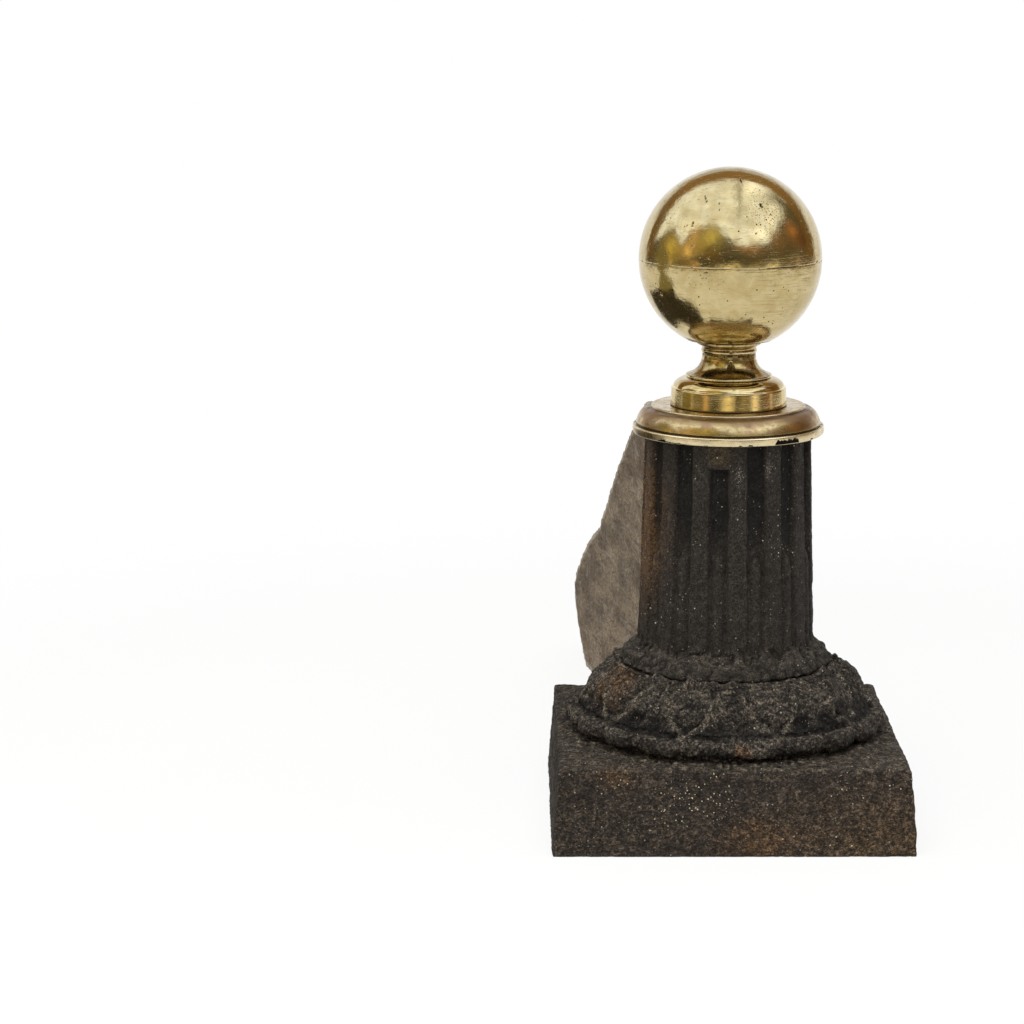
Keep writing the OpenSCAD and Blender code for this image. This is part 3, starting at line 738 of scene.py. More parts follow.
BROWN_RUST_AND_WARM_LIGHT = (0.155, 0.078, 0.026)
ORANGE_RUST = (0.150, 0.072, 0.024)
OLIVE_RUST = (0.095, 0.068, 0.028)
DULL_RUST = (0.108, 0.066, 0.030)
KHAKI_DUST_AND_HIGHLIGHT = (0.130, 0.110, 0.080)
HOLLOW_SHADE_BLACK = (0.0075, 0.0065, 0.0055)
RUBBED_IRON_AND_GLINT = (0.42, 0.38, 0.31)
YELLOW_FLECK = (0.90, 0.78, 0.52)
BRIGHT_GLINT = (0.80, 0.72, 0.56)
DIM_GLINT = (0.55, 0.51, 0.43)
BRASS_BROWN = (0.27, 0.175, 0.085)
BRASS_DIRT = (0.05, 0.034, 0.014)
PALE_BRASS = (0.90, 0.78, 0.48)


def cast_iron(name, soot, iron, specks, crags, rust_and_warm_light_spots, scuffs_and_glints=(), flecks=(), patchy=1.0,
              grain_run=(1, 1, 1)):
    """Sand-cast iron blackened by soot: a broken skin with painted shade in its creases and hollows and
    painted light on its tops, khaki dust on ledges with a painted highlight on husks, rust stains and brown
    painted warm light, worn bright places with painted glints and reflections, and bright specks that are
    painted glints. Each rust and warm light spot is a place, its reach, how many times as tall it is, its
    strength and its colour. Each scuff and glint has the first three of these, a fleck two."""
    f = Finish(name, Specular_IOR_Level=0.3)
    patch = f.noise(16, 4, 0.6).from_to(0.36, 0.64, 0.5 - 0.5 * patchy, 0.5 + 0.5 * patchy)
    colour = f.blend(patch, soot, iron)
    stain = f.noise(7, 4, 0.7, shift=0.7).from_to(0.30, 0.66, 0.35, 1.0)
    # rust stains; the column's brown band down its left side is rust colour with painted warm light
    for place, reach, tall, strength, rust in rust_and_warm_light_spots:
        colour = f.blend(f.near(place, reach, tall) * stain * strength, colour, rust)
    # khaki dust on upward faces and the crust, and a painted highlight on the husks
    dust_and_husk_highlight = f.upward() * 0.4 + f.mark("crust") * 0.4 + f.mark("ridge") * 0.3 + 0.05
    dust_and_husk_highlight = dust_and_husk_highlight * f.noise(3.5, 5, 0.75, shift=0.3).from_to(0.40, 0.60) + f.mark("ridge") * 0.35
    colour = f.blend(dust_and_husk_highlight, colour, KHAKI_DUST_AND_HIGHLIGHT)
    # painted shade: the hollow mark darkens flutes, recesses and the ground by the darts towards black
    colour = f.blend(f.mark("hollow").from_to(0.2, 0.9) * 0.85, colour, HOLLOW_SHADE_BLACK)
    skin = f.noise(2.0, 4, 0.72, stretch=grain_run, twist=0.6, shift=1.9)
    # painted shade along thin creases in the skin, and painted light on the tops of its lumps
    shaded_crease = abs(skin - 0.47).from_to(0.03, 0.0)
    tops = skin.from_to(0.45, 0.60)
    spot, tone = f.crumbs(1.1, 0.9, grain_run)
    grit = f.noise(0.75, 3, 0.75, stretch=grain_run).from_to(0.42, 0.58)
    # shade: painted light and shade of the skin's relief and of the marked creases, times each grain's own
    # tone and the grit
    shade = (tops * (0.9 * crags) + (1 - 0.4 * crags)) * (tone * (1.2 * crags) + (1 - 0.55 * crags))
    shade = shade * (grit * 1.1 + 0.45) * (1 - shaded_crease * (0.5 * crags)) * (1 - f.mark("shaded_crease") * 0.7)
    colour = colour * shade
    # worn bright iron with painted glints; on the column these are painted glints and a painted reflection
    # down its right edge
    for place, reach, tall in scuffs_and_glints:
        rub_and_glint = (f.near(place, reach, tall) * 0.30 + f.noise(0.7, 4, 0.8, shift=1.7)).from_to(0.80, 0.88)
        colour = f.blend(rub_and_glint * 0.8, colour, RUBBED_IRON_AND_GLINT)
    for place, reach in flecks:
        far, lucky = f.grains(1.5, 0.5, 4.7)
        fleck = far.from_to(0.25, 0.13) * lucky * f.near(place, reach).from_to(0.0, 0.5)
        colour = f.blend(fleck, colour, YELLOW_FLECK)
    # painted glints: bright and dim dots scattered in clusters
    cluster = f.noise(26, 3, 0.6, shift=2.6).from_to(0.42, 0.62)
    far, lucky = f.grains(2.6, specks, 0.9)
    speck = far.from_to(0.17, 0.09) * lucky * (cluster * 0.75 + 0.25)
    colour = f.blend(speck, colour, BRIGHT_GLINT)
    far, lucky = f.grains(1.5, specks * 1.4, 2.1)
    glint = far.from_to(0.20, 0.10) * lucky * (cluster * 0.8 + 0.2)
    colour = f.blend(glint * 0.8, colour, DIM_GLINT)
    height = skin * (0.5 + 1.1 * crags) + (1 - spot) * 0.35 * crags + grit * 0.15
    height = height - shaded_crease * 0.3 * crags + speck * 0.15
    roughness = f.noise(5, 3, 0.6, shift=3.1).from_to(0.3, 0.7, 0.60, 0.92)
    return f.paint(colour, roughness, height)


def burnt_iron(name):
    """Tail: iron that fires have burnt to a dull mottled grey-brown, with pale streaks and darker scabs.
    Its clouds are long, because the flames ran along it."""
    f = Finish(name, Specular_IOR_Level=0.25)
    along = (1, 0.28, 1)
    cloud = f.noise(18, 5, 0.65, stretch=along).from_to(0.38, 0.62)
    colour = f.blend(cloud, (0.120, 0.088, 0.057), (0.235, 0.182, 0.122))
    streak = f.noise(11, 4, 0.6, stretch=(1, 0.3, 0.8), twist=1.2, shift=1.3)
    colour = f.blend(streak.from_to(0.50, 0.64) * 0.5, colour, (0.30, 0.252, 0.188))
    scab = f.noise(6, 5, 0.7, stretch=along, twist=0.6, shift=2.2).from_to(0.52, 0.66)
    colour = f.blend(scab * 0.7, colour, (0.078, 0.060, 0.045))
    rust = f.noise(10, 4, 0.7, stretch=along, shift=4.4).from_to(0.56, 0.72)
    colour = f.blend(rust * 0.35, colour, (0.19, 0.120, 0.065))
    # painted highlight: paler along the plate's convex edges
    colour = f.blend(f.mark("edge").from_to(0.04, 0.3) * 0.8, colour, (0.40, 0.355, 0.285))
    grit = f.noise(1.2, 4, 0.75, stretch=along).from_to(0.36, 0.64)
    colour = colour * (grit * 0.7 + 0.65)
    height = f.noise(2.6, 5, 0.75, stretch=along) * 0.8 + grit * 0.12 - scab * 0.15
    return f.paint(colour, f.noise(6, 3, 0.6).from_to(0.3, 0.7, 0.7, 0.95), height)


def forged_iron(name):
    """Black scale with paler bare places and a little rust."""
    f = Finish(name, Specular_IOR_Level=0.4)
    colour = f.blend(f.noise(5, 4, 0.65).from_to(0.35, 0.65), (0.055, 0.05, 0.045), (0.11, 0.1, 0.09))
    colour = f.blend(f.noise(3, 4, 0.7, shift=0.8).from_to(0.6, 0.75) * 0.6, colour, (0.13, 0.065, 0.03))
    height = f.noise(1.5, 3, 0.6) * 0.25
    return f.paint(colour, f.noise(3, 3, 0.6).from_to(0.3, 0.7, 0.5, 0.8), height)


def dull_steel(name):
    """Rod, nuts, washers and dowels: turned iron gone dull, brown where it has rusted."""
    f = Finish(name)
    rust = f.noise(4, 4, 0.7, shift=0.4).from_to(0.5, 0.66)
    colour = f.blend(f.noise(1.5, 3, 0.6).from_to(0.3, 0.7), (0.24, 0.23, 0.22), (0.38, 0.365, 0.345))
    colour = f.blend(rust, colour, (0.12, 0.062, 0.03))
    height = f.noise(1.0, 3, 0.6) * 0.12 + f.noise(0.5, 2, 0.5, stretch=(0.3, 0.3, 3)) * 0.06
    return f.paint(colour, rust * 0.4 + 0.38, height, 1 - rust * 0.85)


def brass(name, tarnish, gloss, bright=(0.60, 0.475, 0.235), pits=0.3, ripple=0.1):
    """Old polished brass: brown tarnish in clouds, small black pits, and fine marks of the lathe.
    Returns the finish and its colour, roughness and height, to paint more on them."""
    f = Finish(name, Metallic=1)
    cloud = f.noise(9, 4, 0.6, twist=0.6)
    deeper = tuple(c * s for c, s in zip(bright, (0.84, 0.80, 0.70)))
    colour = f.blend(cloud.from_to(0.3, 0.7), bright, deeper)
    brown = f.noise(5, 5, 0.7, stretch=(1, 1, 1.6), shift=1.1).from_to(0.44, 0.68) * tarnish
    colour = f.blend(brown, colour, BRASS_BROWN)
    spot, lucky = f.grains(2.3, pits, 0.6)
    small = spot.from_to(0.20, 0.10) * lucky * f.noise(12, 2, 0.5, shift=2.4).from_to(0.48, 0.6)
    dark = small.most(f.mark("pit"))
    colour = f.blend(dark, colour, (0.025, 0.017, 0.009))
    lathe = f.noise(0.32, 2, 0.5, stretch=(0.02, 0.02, 1))
    scratch = f.noise(0.5, 3, 0.6, stretch=(0.06, 0.06, 1), shift=4.0, twist=0.3).from_to(0.60, 0.72)
    colour = f.blend(scratch * 0.4, colour, (0.30, 0.21, 0.10))
    height = f.noise(7, 2, 0.5, shift=0.2) * ripple + lathe * 0.012 + f.noise(0.9, 3, 0.6) * 0.015
    height = height - dark * 0.12 - scratch * 0.012
    roughness = cloud.from_to(0.3, 0.7, gloss, gloss + 0.08) + brown * 0.22 + dark * 0.5
    return f, colour, roughness, height


def bush_brass(name):
    f, colour, roughness, height = brass(name, tarnish=0.6, gloss=0.25)
    return f.paint(colour, roughness, height)


def neck_brass(name):
    """The neck is olive with tarnish, with two pale worn lines round it, a painted highlight along its lip
    and a dotted dark one.
    """
    f, colour, roughness, height = brass(name, tarnish=0.7, gloss=0.12, pits=0.5, ripple=0.3)
    olive = f.noise(6, 4, 0.65, stretch=(1, 1, 1.4), shift=8.1).from_to(0.38, 0.60)
    colour = f.blend(olive * 0.65, colour, (0.34, 0.245, 0.075))
    umber = f.noise(4, 4, 0.7, stretch=(1, 1, 1.2), shift=5.6).from_to(0.52, 0.64)
    colour = f.blend(umber * 0.75, colour, (0.13, 0.070, 0.024))
    dotted = f.line(neck_z + 11.6, 0.5) * f.noise(1.2, 3, 0.6, shift=2.9).from_to(0.40, 0.52)
    colour = f.blend(dotted * 0.85, colour, BRASS_DIRT)
    pale = f.line(neck_z + 9.4, 0.35) * 0.5 + f.line(neck_z + 13.3, 0.5) * 0.5
    # painted highlight along the lip at the neck's foot
    pale = pale + f.line(neck_z + 0.7, 0.5) * 0.8
    colour = f.blend(pale, colour, (0.86, 0.76, 0.50))
    return f.paint(colour, roughness + dotted * 0.3, height - dotted * 0.12)


def drum_brass(name):
    """The drum is olive on its shoulder, with a bright worn edge and dark dirt where it meets the cap."""
    f, colour, roughness, height = brass(name, 0.10, 0.04, bright=(0.70, 0.56, 0.28), pits=0.25, ripple=0.03)
    shoulder = f.above(drum_top - 4.4, drum_top - 3.0) * f.noise(9, 4, 0.6, shift=7.7).from_to(0.3, 0.55)
    colour = f.blend(shoulder * 0.6, colour, (0.36, 0.25, 0.085))
    colour = f.blend(f.line(drum_top - 4.9, 0.45) * 0.7, colour, PALE_BRASS)
    dirt = f.above(drum_z + 0.9, drum_z + 0.2)
    colour = f.blend(dirt * 0.8, colour, BRASS_DIRT)
    return f.paint(colour, roughness + dirt * 0.3, height)


# small chips of the cap's rim: place, reach, and how far up its bright skin is gone there, in mm
RIM_CHIPS = [((3, -48, cap_z), 2.6, 1.6), ((8, -47.5, cap_z), 3, 2.0), ((-34, -33, cap_z), 7, 1.8),
             ((44, 17, cap_z), 6, 1.6), ((-27, -39.5, cap_z), 3, 1.2), ((-14, -46, cap_z), 2.5, 1.0),
             ((40, -27, cap_z), 3, 1.8)]


def rim_chips(f):
    """1 where the rim's bright skin is gone: along one stretch and at the small chips."""
    sound, stretch_up = 1.6, 2.3
    gone = f.near((27, -40, cap_z), 11).from_to(0.1, 0.35) * (stretch_up + sound) - sound
    for place, reach, up in RIM_CHIPS:
        gone = gone.most(f.near(place, reach) * (up + sound) - sound)
    gone = gone + f.noise(1.5, 4, 0.75, shift=5.0) * 4.4 - 1.75
    chip = (gone * MM - (f.height() - cap_z * MM)).from_to(0, 0.15 * MM)
    return chip * f.above(cap_z + 3.4, cap_z + 3.2) * f.above(cap_z + 0.25, cap_z + 0.6)


def cap_brass(name):
    """The cap is brown on the dome's top and stained at its sides, and its rim's bright skin is chipped."""
    f, colour, roughness, height = brass(name, tarnish=0.6, gloss=0.17, pits=0.25, ripple=0.06)
    flat = f.above(cap_z + 13.2, cap_z + 13.6)
    colour = f.blend(flat * 0.4, colour, (0.66, 0.53, 0.35))
    dome = f.above(cap_z + 5, cap_z + 7) * (1 - flat)
    patina = f.above(cap_z + 8.8, cap_z + 11.4) * dome * f.noise(9, 4, 0.6, shift=1.9).from_to(0.2, 0.5)
    colour = f.blend(patina * 0.75, colour, (0.26, 0.160, 0.075))
    stain = f.noise(11, 4, 0.65, shift=3.7).from_to(0.50, 0.64)
    for place, reach in (((40, -24, cap_z + 7), 22), ((-44, -14, cap_z + 8), 16)):
        stain = stain.most(f.near(place, reach) * f.noise(6, 4, 0.6, shift=6.2).from_to(0.3, 0.5))
    colour = f.blend(stain * dome * 0.65, colour, (0.33, 0.19, 0.115))
    groove = f.line(cap_z + 4.7, 0.6).most(f.line(cap_z + 12.8, 0.5) * 0.6)
    colour = f.blend(groove * 0.85, colour, (0.045, 0.03, 0.017))
    colour = f.blend(f.line(cap_z + 3.7, 0.5) * 0.6, colour, (0.90, 0.80, 0.55))
    colour = f.blend(f.above(cap_z + 4.2, cap_z + 3.8) * 0.5, colour, (0.88, 0.77, 0.53))
    chip = rim_chips(f)
    colour = f.blend(chip, colour, (0.018, 0.014, 0.010))
    roughness = roughness + patina * 0.1 + stain * 0.1 + chip * 0.6
    return f.paint(colour, roughness, height - chip * 0.12 - groove * 0.1)


def ball_brass(name):
    """The ball is paler and glossier, with marks of the lathe on its lower right, and small black pits."""
    f, colour, roughness, height = brass(name, 0.14, 0.09, bright=(0.60, 0.49, 0.255), pits=0.35, ripple=0.2)
    wander = f.noise(5, 3, 0.6, shift=7.0) * 1.0 * MM - 0.5 * MM
    at_seam = abs(f.height() - ball_z * MM + wander).from_to(0.5 * MM, 0.1 * MM)
    opened = f.near((24, -39, ball_z), 13)
    pits_and_contact_shadow = at_seam * ((f.noise(1.8, 3, 0.7, shift=3.3) + opened * 0.3).from_to(0.56, 0.64) * 0.9 + 0.1)
    below_seam = f.noise(1.4, 3, 0.7, shift=5.5).from_to(0.64, 0.70) * f.near((-15, -43, ball_z - 3), 13)
    # painted contact shadow: dark round the ball's foot where it sits on the neck
    contact_shadow = f.above(ball_seat + 1.0, ball_seat + 0.3)
    pits_and_contact_shadow = pits_and_contact_shadow.most(below_seam).most(contact_shadow)
    colour = f.blend(pits_and_contact_shadow, colour, (0.04, 0.028, 0.014))
    streaks = f.noise(0.6, 3, 0.6, stretch=(0.04, 0.04, 1), shift=6.0).from_to(0.52, 0.64)
    streaks = streaks * f.near((26, -34, ball_z - 11), 34)
    colour = f.blend(streaks * 0.6, colour, (0.33, 0.24, 0.11))
    far, lucky = f.grains(0.85, 0.7, 1.9)
    freckles = far.from_to(0.40, 0.20) * lucky * f.near((14, -33, ball_z + 27), 19)
    far, lucky = f.grains(1.7, 0.22, 3.9)
    freckles = freckles.most(far.from_to(0.16, 0.06) * lucky * f.above(ball_z + 8, ball_z + 16))
    bloom = f.noise(1.1, 3, 0.7, shift=9.0).from_to(0.56, 0.64) * f.near((26, -28, ball_z - 22), 18)
    colour = f.blend((freckles * 0.9).most(bloom * 0.35), colour, (0.10, 0.075, 0.036))
    hair = f.noise(0.7, 2, 0.5, stretch=(0.08, 1, 0.5), shift=11.0, twist=0.4).from_to(0.68, 0.72)
    colour = f.blend(hair * 0.5, colour, (0.25, 0.18, 0.08))
    return f.paint(colour, roughness + pits_and_contact_shadow * 0.4 + streaks * 0.10 + freckles * 0.2,
                   height - pits_and_contact_shadow * 0.2 - streaks * 0.035 - freckles * 0.06 - hair * 0.02)


# ---------------------------------------------------------------- the andiron, piece by piece

def dress(piece, material, body, slot, *nodes):
    piece.data.materials.clear()
    piece.data.materials.append(material)
    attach(piece, body)
    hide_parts(*nodes)


def column_iron():
    """Black with soot, brown down its left side in rust colour with painted warm light, worn bright with
    painted glints in places under the cap, and with a painted reflection down its right edge.
    """
    return cast_iron(
        "column_iron", (0.0205, 0.0168, 0.0130), (0.0315, 0.0258, 0.0202), specks=0.17, crags=0.35,
        patchy=0.6,
        # the first spot is a brown band strongest at the left edge: rust colour with painted warm light
        rust_and_warm_light_spots=[((-48, -4, 152), 40, 1.7, 1.0, BROWN_RUST_AND_WARM_LIGHT), ((-7, -43, 190), 9, 1, 0.9, OLIVE_RUST)],
        # painted glints under the cap, and a tall painted reflection down the right edge
        scuffs_and_glints=[((3, -43, 181), 8, 2.0), ((18, -39, 183), 8, 2.0), ((-35.5, -24, 186), 6, 2.4),
                ((43, 8, 150), 8, 7)])


def base_iron():
    return cast_iron(
        "base_iron", (0.031, 0.0255, 0.0200), (0.078, 0.0640, 0.0490), specks=0.17, crags=1.1,
        rust_and_warm_light_spots=[((-58, -28, 74), 24, 1, 1.0, ORANGE_RUST), ((4, -80, 50), 7, 1, 0.8, ORANGE_RUST)])


def plinth_iron():
    """Browner than the rest, with a finer skin that runs level, paler flecks left of the middle and rust low
    on the right."""
    return cast_iron(
        "plinth_iron", (0.030, 0.0220, 0.0155), (0.052, 0.0385, 0.0270), specks=0.2, crags=0.85, patchy=0.6,
        grain_run=(0.75, 0.75, 1),
        rust_and_warm_light_spots=[((80, -89, 2), 90, 0.5, 0.75, DULL_RUST), ((12, -89, 8), 30, 0.6, 0.5, BROWN_RUST_AND_WARM_LIGHT),
                    ((-58, -88, 42), 14, 1, 0.5, BROWN_RUST_AND_WARM_LIGHT), ((89, 60, 10), 45, 1, 0.5, BROWN_RUST_AND_WARM_LIGHT)],
        scuffs_and_glints=[((48, -89, 19), 6, 1), ((-47, -89, 47), 10, 1), ((20, -89, 43), 9, 1)],
        flecks=[((-14, -89, 31), 19), ((-33, -89, 25), 15), ((-56, -89, 38), 8)])


def iron_castings():
    column = turned("fluted_column", column_outline(), 46 * FLUTES, column_relief)
    dress(column, column_iron(), "stand", "cast_iron", "column_shaft")
    moulding = turned("egg_and_dart_base", base_outline(), 80 * EGGS, base_relief)
    dress(moulding, base_iron(), "stand", "cast_iron", "torus_base")
    plinth = cast_from("plinth", "plinth_casting", 1.2, 4, plinth_skin, 71)
    dress(plinth, plinth_iron(), "stand", "cast_iron", "plinth")


def tail_with_its_fork():
    tail = cast_from("tail_plate", "tail_casting", 1.2, 6, tail_skin, 81)
    dress(tail, burnt_iron("tail_iron"), "tail", "tail_iron", "tail_plate")
    fork = cast_from("tail_yoke", "forged_fork", 0.8, 2, forged_skin, 91)
    dress(fork, forged_iron("fork_iron"), "tail", "forged_iron", "tail_yoke")
    rivets = cast_from("yoke_rivets", "rivet_heads", 0.5, 2, forged_skin, 95)
    dress(rivets, forged_iron("rivet_iron"), "tail", "forged_iron", "yoke_rivets")


# the neck's pits: angle from the front in degrees, height over its foot, radius and depth in mm
NECK_PITS = [
    (0, 8.4, 0.8, 0.7), (-2.6, 7.2, 0.9, 0.8), (2.4, 7.1, 0.9, 0.8), (-5, 6.0, 0.8, 0.6), (0, 6.0, 1.0, 0.8),
    (6, 6.2, 0.6, 0.4), (0, 13.6, 0.7, 0.5), (18, 11.4, 0.5, 0.3), (-14, 11.2, 0.5, 0.3),
    (40, 11.2, 0.6, 0.3)]


def brass_mouldings():
    cap = turned("brass_cap", cap_outline(), 360)
    dress(cap, cap_brass("cap_brass"), "stand", "moulding_brass", "collar_cap")
    drum = turned("brass_drum", drum_outline(), 300)
    dress(drum, drum_brass("drum_brass"), "stand", "moulding_brass", "pedestal_drum")
    pits = [(turn, neck_z + over, wide, deep) for turn, over, wide, deep in NECK_PITS]
    neck = turned("brass_neck", neck_outline(), 300, dents(pits, 13.8))
    dress(neck, neck_brass("neck_brass"), "stand", "moulding_brass", "neck_spool")


# dents and nicks of the ball: angle from the front in degrees, height over its centre, radius, depth
BALL_DENTS = [
    (-25, 31.5, 0.7, 0.4), (-26.5, 32.6, 0.6, 0.4), (-28.5, 33.9, 0.5, 0.3), (-27.5, 33.0, 0.5, 0.3),
    (21, 29.9, 0.9, 0.6), (21.8, 29.2, 0.6, 0.4), (-14, 30.6, 0.5, 0.3), (-13, 27.8, 0.4, 0.3),
    (-31, 21.6, 0.35, 0.3), (-31, 20.8, 0.35, 0.3), (-31, 20.0, 0.35, 0.3), (-36.5, 19.5, 0.35, 0.3),
    (-35.5, 20.0, 0.35, 0.3), (8, 24.8, 0.4, 0.3), (13, 16.7, 0.35, 0.3), (-28, 10.4, 0.45, 0.3),
    (46, 6.7, 0.5, 0.4), (65, 0.7, 0.6, 0.5), (-55, -14.8, 0.7, 0.5), (-55, -13.9, 0.5, 0.4),
    (-26, -0.7, 0.4, 0.3), (-19, -1.6, 0.4, 0.3), (25, -11.1, 0.4, 0.3), (26, -12.0, 0.3, 0.3),
    (9, 40.8, 1.2, 0.3)]


def ball():
    finish = ball_brass("ball_brass")
    places = [(turn, ball_z + over, wide, deep) for turn, over, wide, deep in BALL_DENTS]
    for name, top in (("ball_upper_shell", True), ("ball_lower_shell", False)):
        dented = dents([place for place in places if (place[1] > ball_z) == top], ball_r)
        shell = turned(name, ball_outline(top), 420, dented)
        dress(shell, finish, "ball", "ball_brass", "ball_upper_half" if top else "ball_lower_half")


def rod_and_its_fastenings():
    steel = dull_steel("dull_steel")
    dress(rod_piece(), steel, "stand", "bright_iron", "tie_rod")
    bush = bush_brass("bush_brass")
    for node in ("base_dowels", "shaft_washer", "shaft_nut", "foot_nut", "foot_washer", "swivel_washer",
                 "ball_bush"):
        cad_nodes[node].data.materials.clear()
        cad_nodes[node].data.materials.append(bush if node == "ball_bush" else steel)


iron_castings()
tail_with_its_fork()
brass_mouldings()
ball()
rod_and_its_fastenings()


# ---------------------------------------------------------------- floor, lights and camera

def light_world():
    """Soft light all round, and white where the camera, metal or glass sees past the floor."""
    world = bpy.data.worlds.new("studio")
    bpy.context.scene.world = world
    world.use_nodes = True
    air = Nodes(world.node_tree)
    dim = air.node("ShaderNodeBackground", {}, {"Color": (1, 0.98, 0.95), "Strength": 0.42})
    white = air.node("ShaderNodeBackground", {}, {"Color": (1, 1, 1), "Strength": 1.0})
    air.end("World Output", air.pick_shader(air.seen_straight(), dim, white))


def floor_piece():
    """Round pale table top under the andiron. Far from it, only its white is seen."""
    reach, sides, shadow_reach = 2000, 96, 900
    turn, radius = ring_points(sides, np.array([0.5, 150, 400, 900, 1400, reach]))
    index = np.arange(turn.size).reshape(turn.shape)
    points, quads = around_points(turn, radius, np.zeros_like(radius)), open_quads(index)
    floor = make_piece("studio_floor", points, quads[:, :, ::-1])
    paper = Finish("floor_paper", Base_Color=(0.88, 0.87, 0.85), Roughness=0.9)
    plain = Wire(paper, paper.surface.outputs[0])
    glow = paper.node("ShaderNodeEmission", {}, {"Color": (1, 1, 1), "Strength": 1.0})
    shaded = paper.near((0, 0, 0), shadow_reach).from_to(0, 0.5) * 0.15
    bright = paper.pick_shader(shaded, glow, plain)
    paper.end("Material Output", paper.pick_shader(paper.seen_straight(), plain, bright))
    floor.data.materials.append(paper.material)


# What the brass mirrors: a room in front with blurred coloured things in it, two bright ceiling panels with a
# dark gap between them, and the brown frame of the backdrop. Directions are from the ball, in degrees:
# azimuth from the front towards +X, and elevation up.
BALL = np.array([0, 0, ball_z])
ROOM = 3200
CEILING_LIGHT = np.array([1.36, 1.46, 1.70])
CEILING_GAP = (0.42, 0.42, 0.34)
CEILING_BEAM = (0.8, 0.8, 0.72)
DARK_ROOM = np.array([0.155, 0.135, 0.085])
FRAME_BROWN = np.array([0.225, 0.135, 0.048])
BACK_WALL = (0.60, 0.60, 0.58)
# elevation of the top of the dark things along the room's front, at each azimuth
SKYLINE = [
    (-118, 8), (-104, 20), (-92, 30), (-80, 24), (-71, 18), (-64, 32), (-56, 42), (-34, 46), (-22, 42),
    (-12, 33), (-2, 26), (12, 23), (36, 22), (50, 24), (58, 30), (68, 34), (84, 38), (98, 38), (110, 44),
    (122, 48)]
# azimuth, elevation, width, height, colour and strength of blurred things in the room
ROOM_THINGS = [
    (-86, 10, 13, 12, (0.90, 0.70, 0.19), 1.0), (-60, 12, 9, 9, (1.2, 0.82, 0.32), 1.0),
    (-56, 29, 7, 13, (1.0, 0.66, 0.30), 0.8), (-32, 33, 14, 13, (0.90, 0.77, 0.25), 1.0),
    (-44, 20, 10, 9, (0.62, 0.46, 0.15), 0.8), (-26, 10, 10, 7, (0.27, 0.16, 0.06), 0.9),
    (-4, 6, 15, 6, (0.10, 0.09, 0.06), 0.9), (18, 20, 16, 4, (0.58, 0.33, 0.17), 0.9),
    (28, 15, 10, 3, (0.72, 0.42, 0.21), 0.8), (26, 10, 14, 3.5, (0.16, 0.12, 0.07), 0.8),
    (62, 24, 12, 12, (0.36, 0.20, 0.10), 0.9), (92, 24, 9, 8, (0.70, 0.29, 0.09), 0.9),
    (108, 10, 16, 12, (0.18, 0.07, 0.03), 0.9), (88, 2, 26, 3, (0.27, 0.25, 0.15), 0.8),
    (-2, 2, 34, 3.5, (0.07, 0.065, 0.04), 0.9), (48, 1, 26, 2.2, (0.30, 0.28, 0.18), 0.8),
    (40, 6, 26, 1.8, (0.07, 0.06, 0.035), 0.8)]
# azimuth, width and colour of stripes low down in it, which the drum's upright side mirrors
LOW_STRIPES = [
    (-122, 9, (0.10, 0.07, 0.03)), (-104, 5, (1.4, 1.28, 0.95)), (-88, 9, (0.85, 0.66, 0.28)),
    (-66, 12, (0.24, 0.17, 0.06)), (-49, 6, (0.80, 0.52, 0.22)), (-29, 8, (0.11, 0.085, 0.03)),
    (-5, 13, (1.35, 1.17, 0.70)), (14, 4, (0.15, 0.11, 0.045)), (27, 8, (0.38, 0.29, 0.13)),
    (50, 9, (1.55, 1.38, 1.05)), (76, 10, (0.24, 0.13, 0.07)), (90, 4, (0.80, 0.55, 0.35)),
    (104, 8, (0.14, 0.08, 0.04)), (122, 9, (0.30, 0.17, 0.08))]
# bright and dim places of the ceiling: across and over the ball's middle in radii, width, height, colour and
# strength
CEILING_THINGS = [
    (0.48, 0.67, 0.10, 0.06, (0.30, 0.29, 0.20), 0.9), (0.59, 0.51, 0.05, 0.09, (0.36, 0.34, 0.23), 0.8),
    (0.70, 0.47, 0.03, 0.10, (1.5, 1.5, 1.7), 0.7), (-0.20, 0.82, 0.20, 0.05, (0.95, 1.0, 1.1), 0.6),
    (-0.50, 0.50, 0.05, 0.10, (0.85, 0.85, 0.80), 0.6), (0.21, 0.74, 0.08, 0.07, (2.3, 2.45, 2.8), 0.8),
    (0.31, 0.27, 0.10, 0.06, (2.2, 2.3, 2.55), 0.8), (-0.42, 0.34, 0.12, 0.06, (2.1, 2.2, 2.5), 0.7),
    (-0.12, 0.46, 0.10, 0.08, (1.15, 1.12, 1.05), 0.6), (-0.30, 0.66, 0.10, 0.05, (1.1, 1.1, 1.1), 0.6),
    (0.42, 0.42, 0.05, 0.07, (2.2, 2.3, 2.6), 0.7)]


def direction(azimuth, elevation):
    a, e = np.radians(azimuth), np.radians(elevation)
    return np.stack([np.sin(a) * np.cos(e), -np.cos(a) * np.cos(e), np.sin(e)], -1)


def lay(colour, share, other):
    return colour + share[..., None] * (np.array(other) - colour)


def ceiling_colour(way, across, over):
    """Two bright panels with uneven places, the gap between them and two faint beams."""
    haze = 0.24 * lumps(way * 9, 1, 7) + 0.14 * lumps(way * 22, 1, 17)
    colour = np.broadcast_to(CEILING_LIGHT, way.shape) * (1 + haze)[..., None]
    for x, y, wide, tall, other, strength in CEILING_THINGS:
        colour = lay(colour, strength * bell(across - x, wide) * bell(over - y, tall), other)
    colour = lay(colour, bell(across - 0.086, 0.026) * ramp(over, 0.38, 0.46), CEILING_GAP)
    for beam in (0.50, 0.64):
        colour = lay(colour, 0.25 * bell(over - beam + 0.1 * across, 0.012), CEILING_BEAM)
    return colour


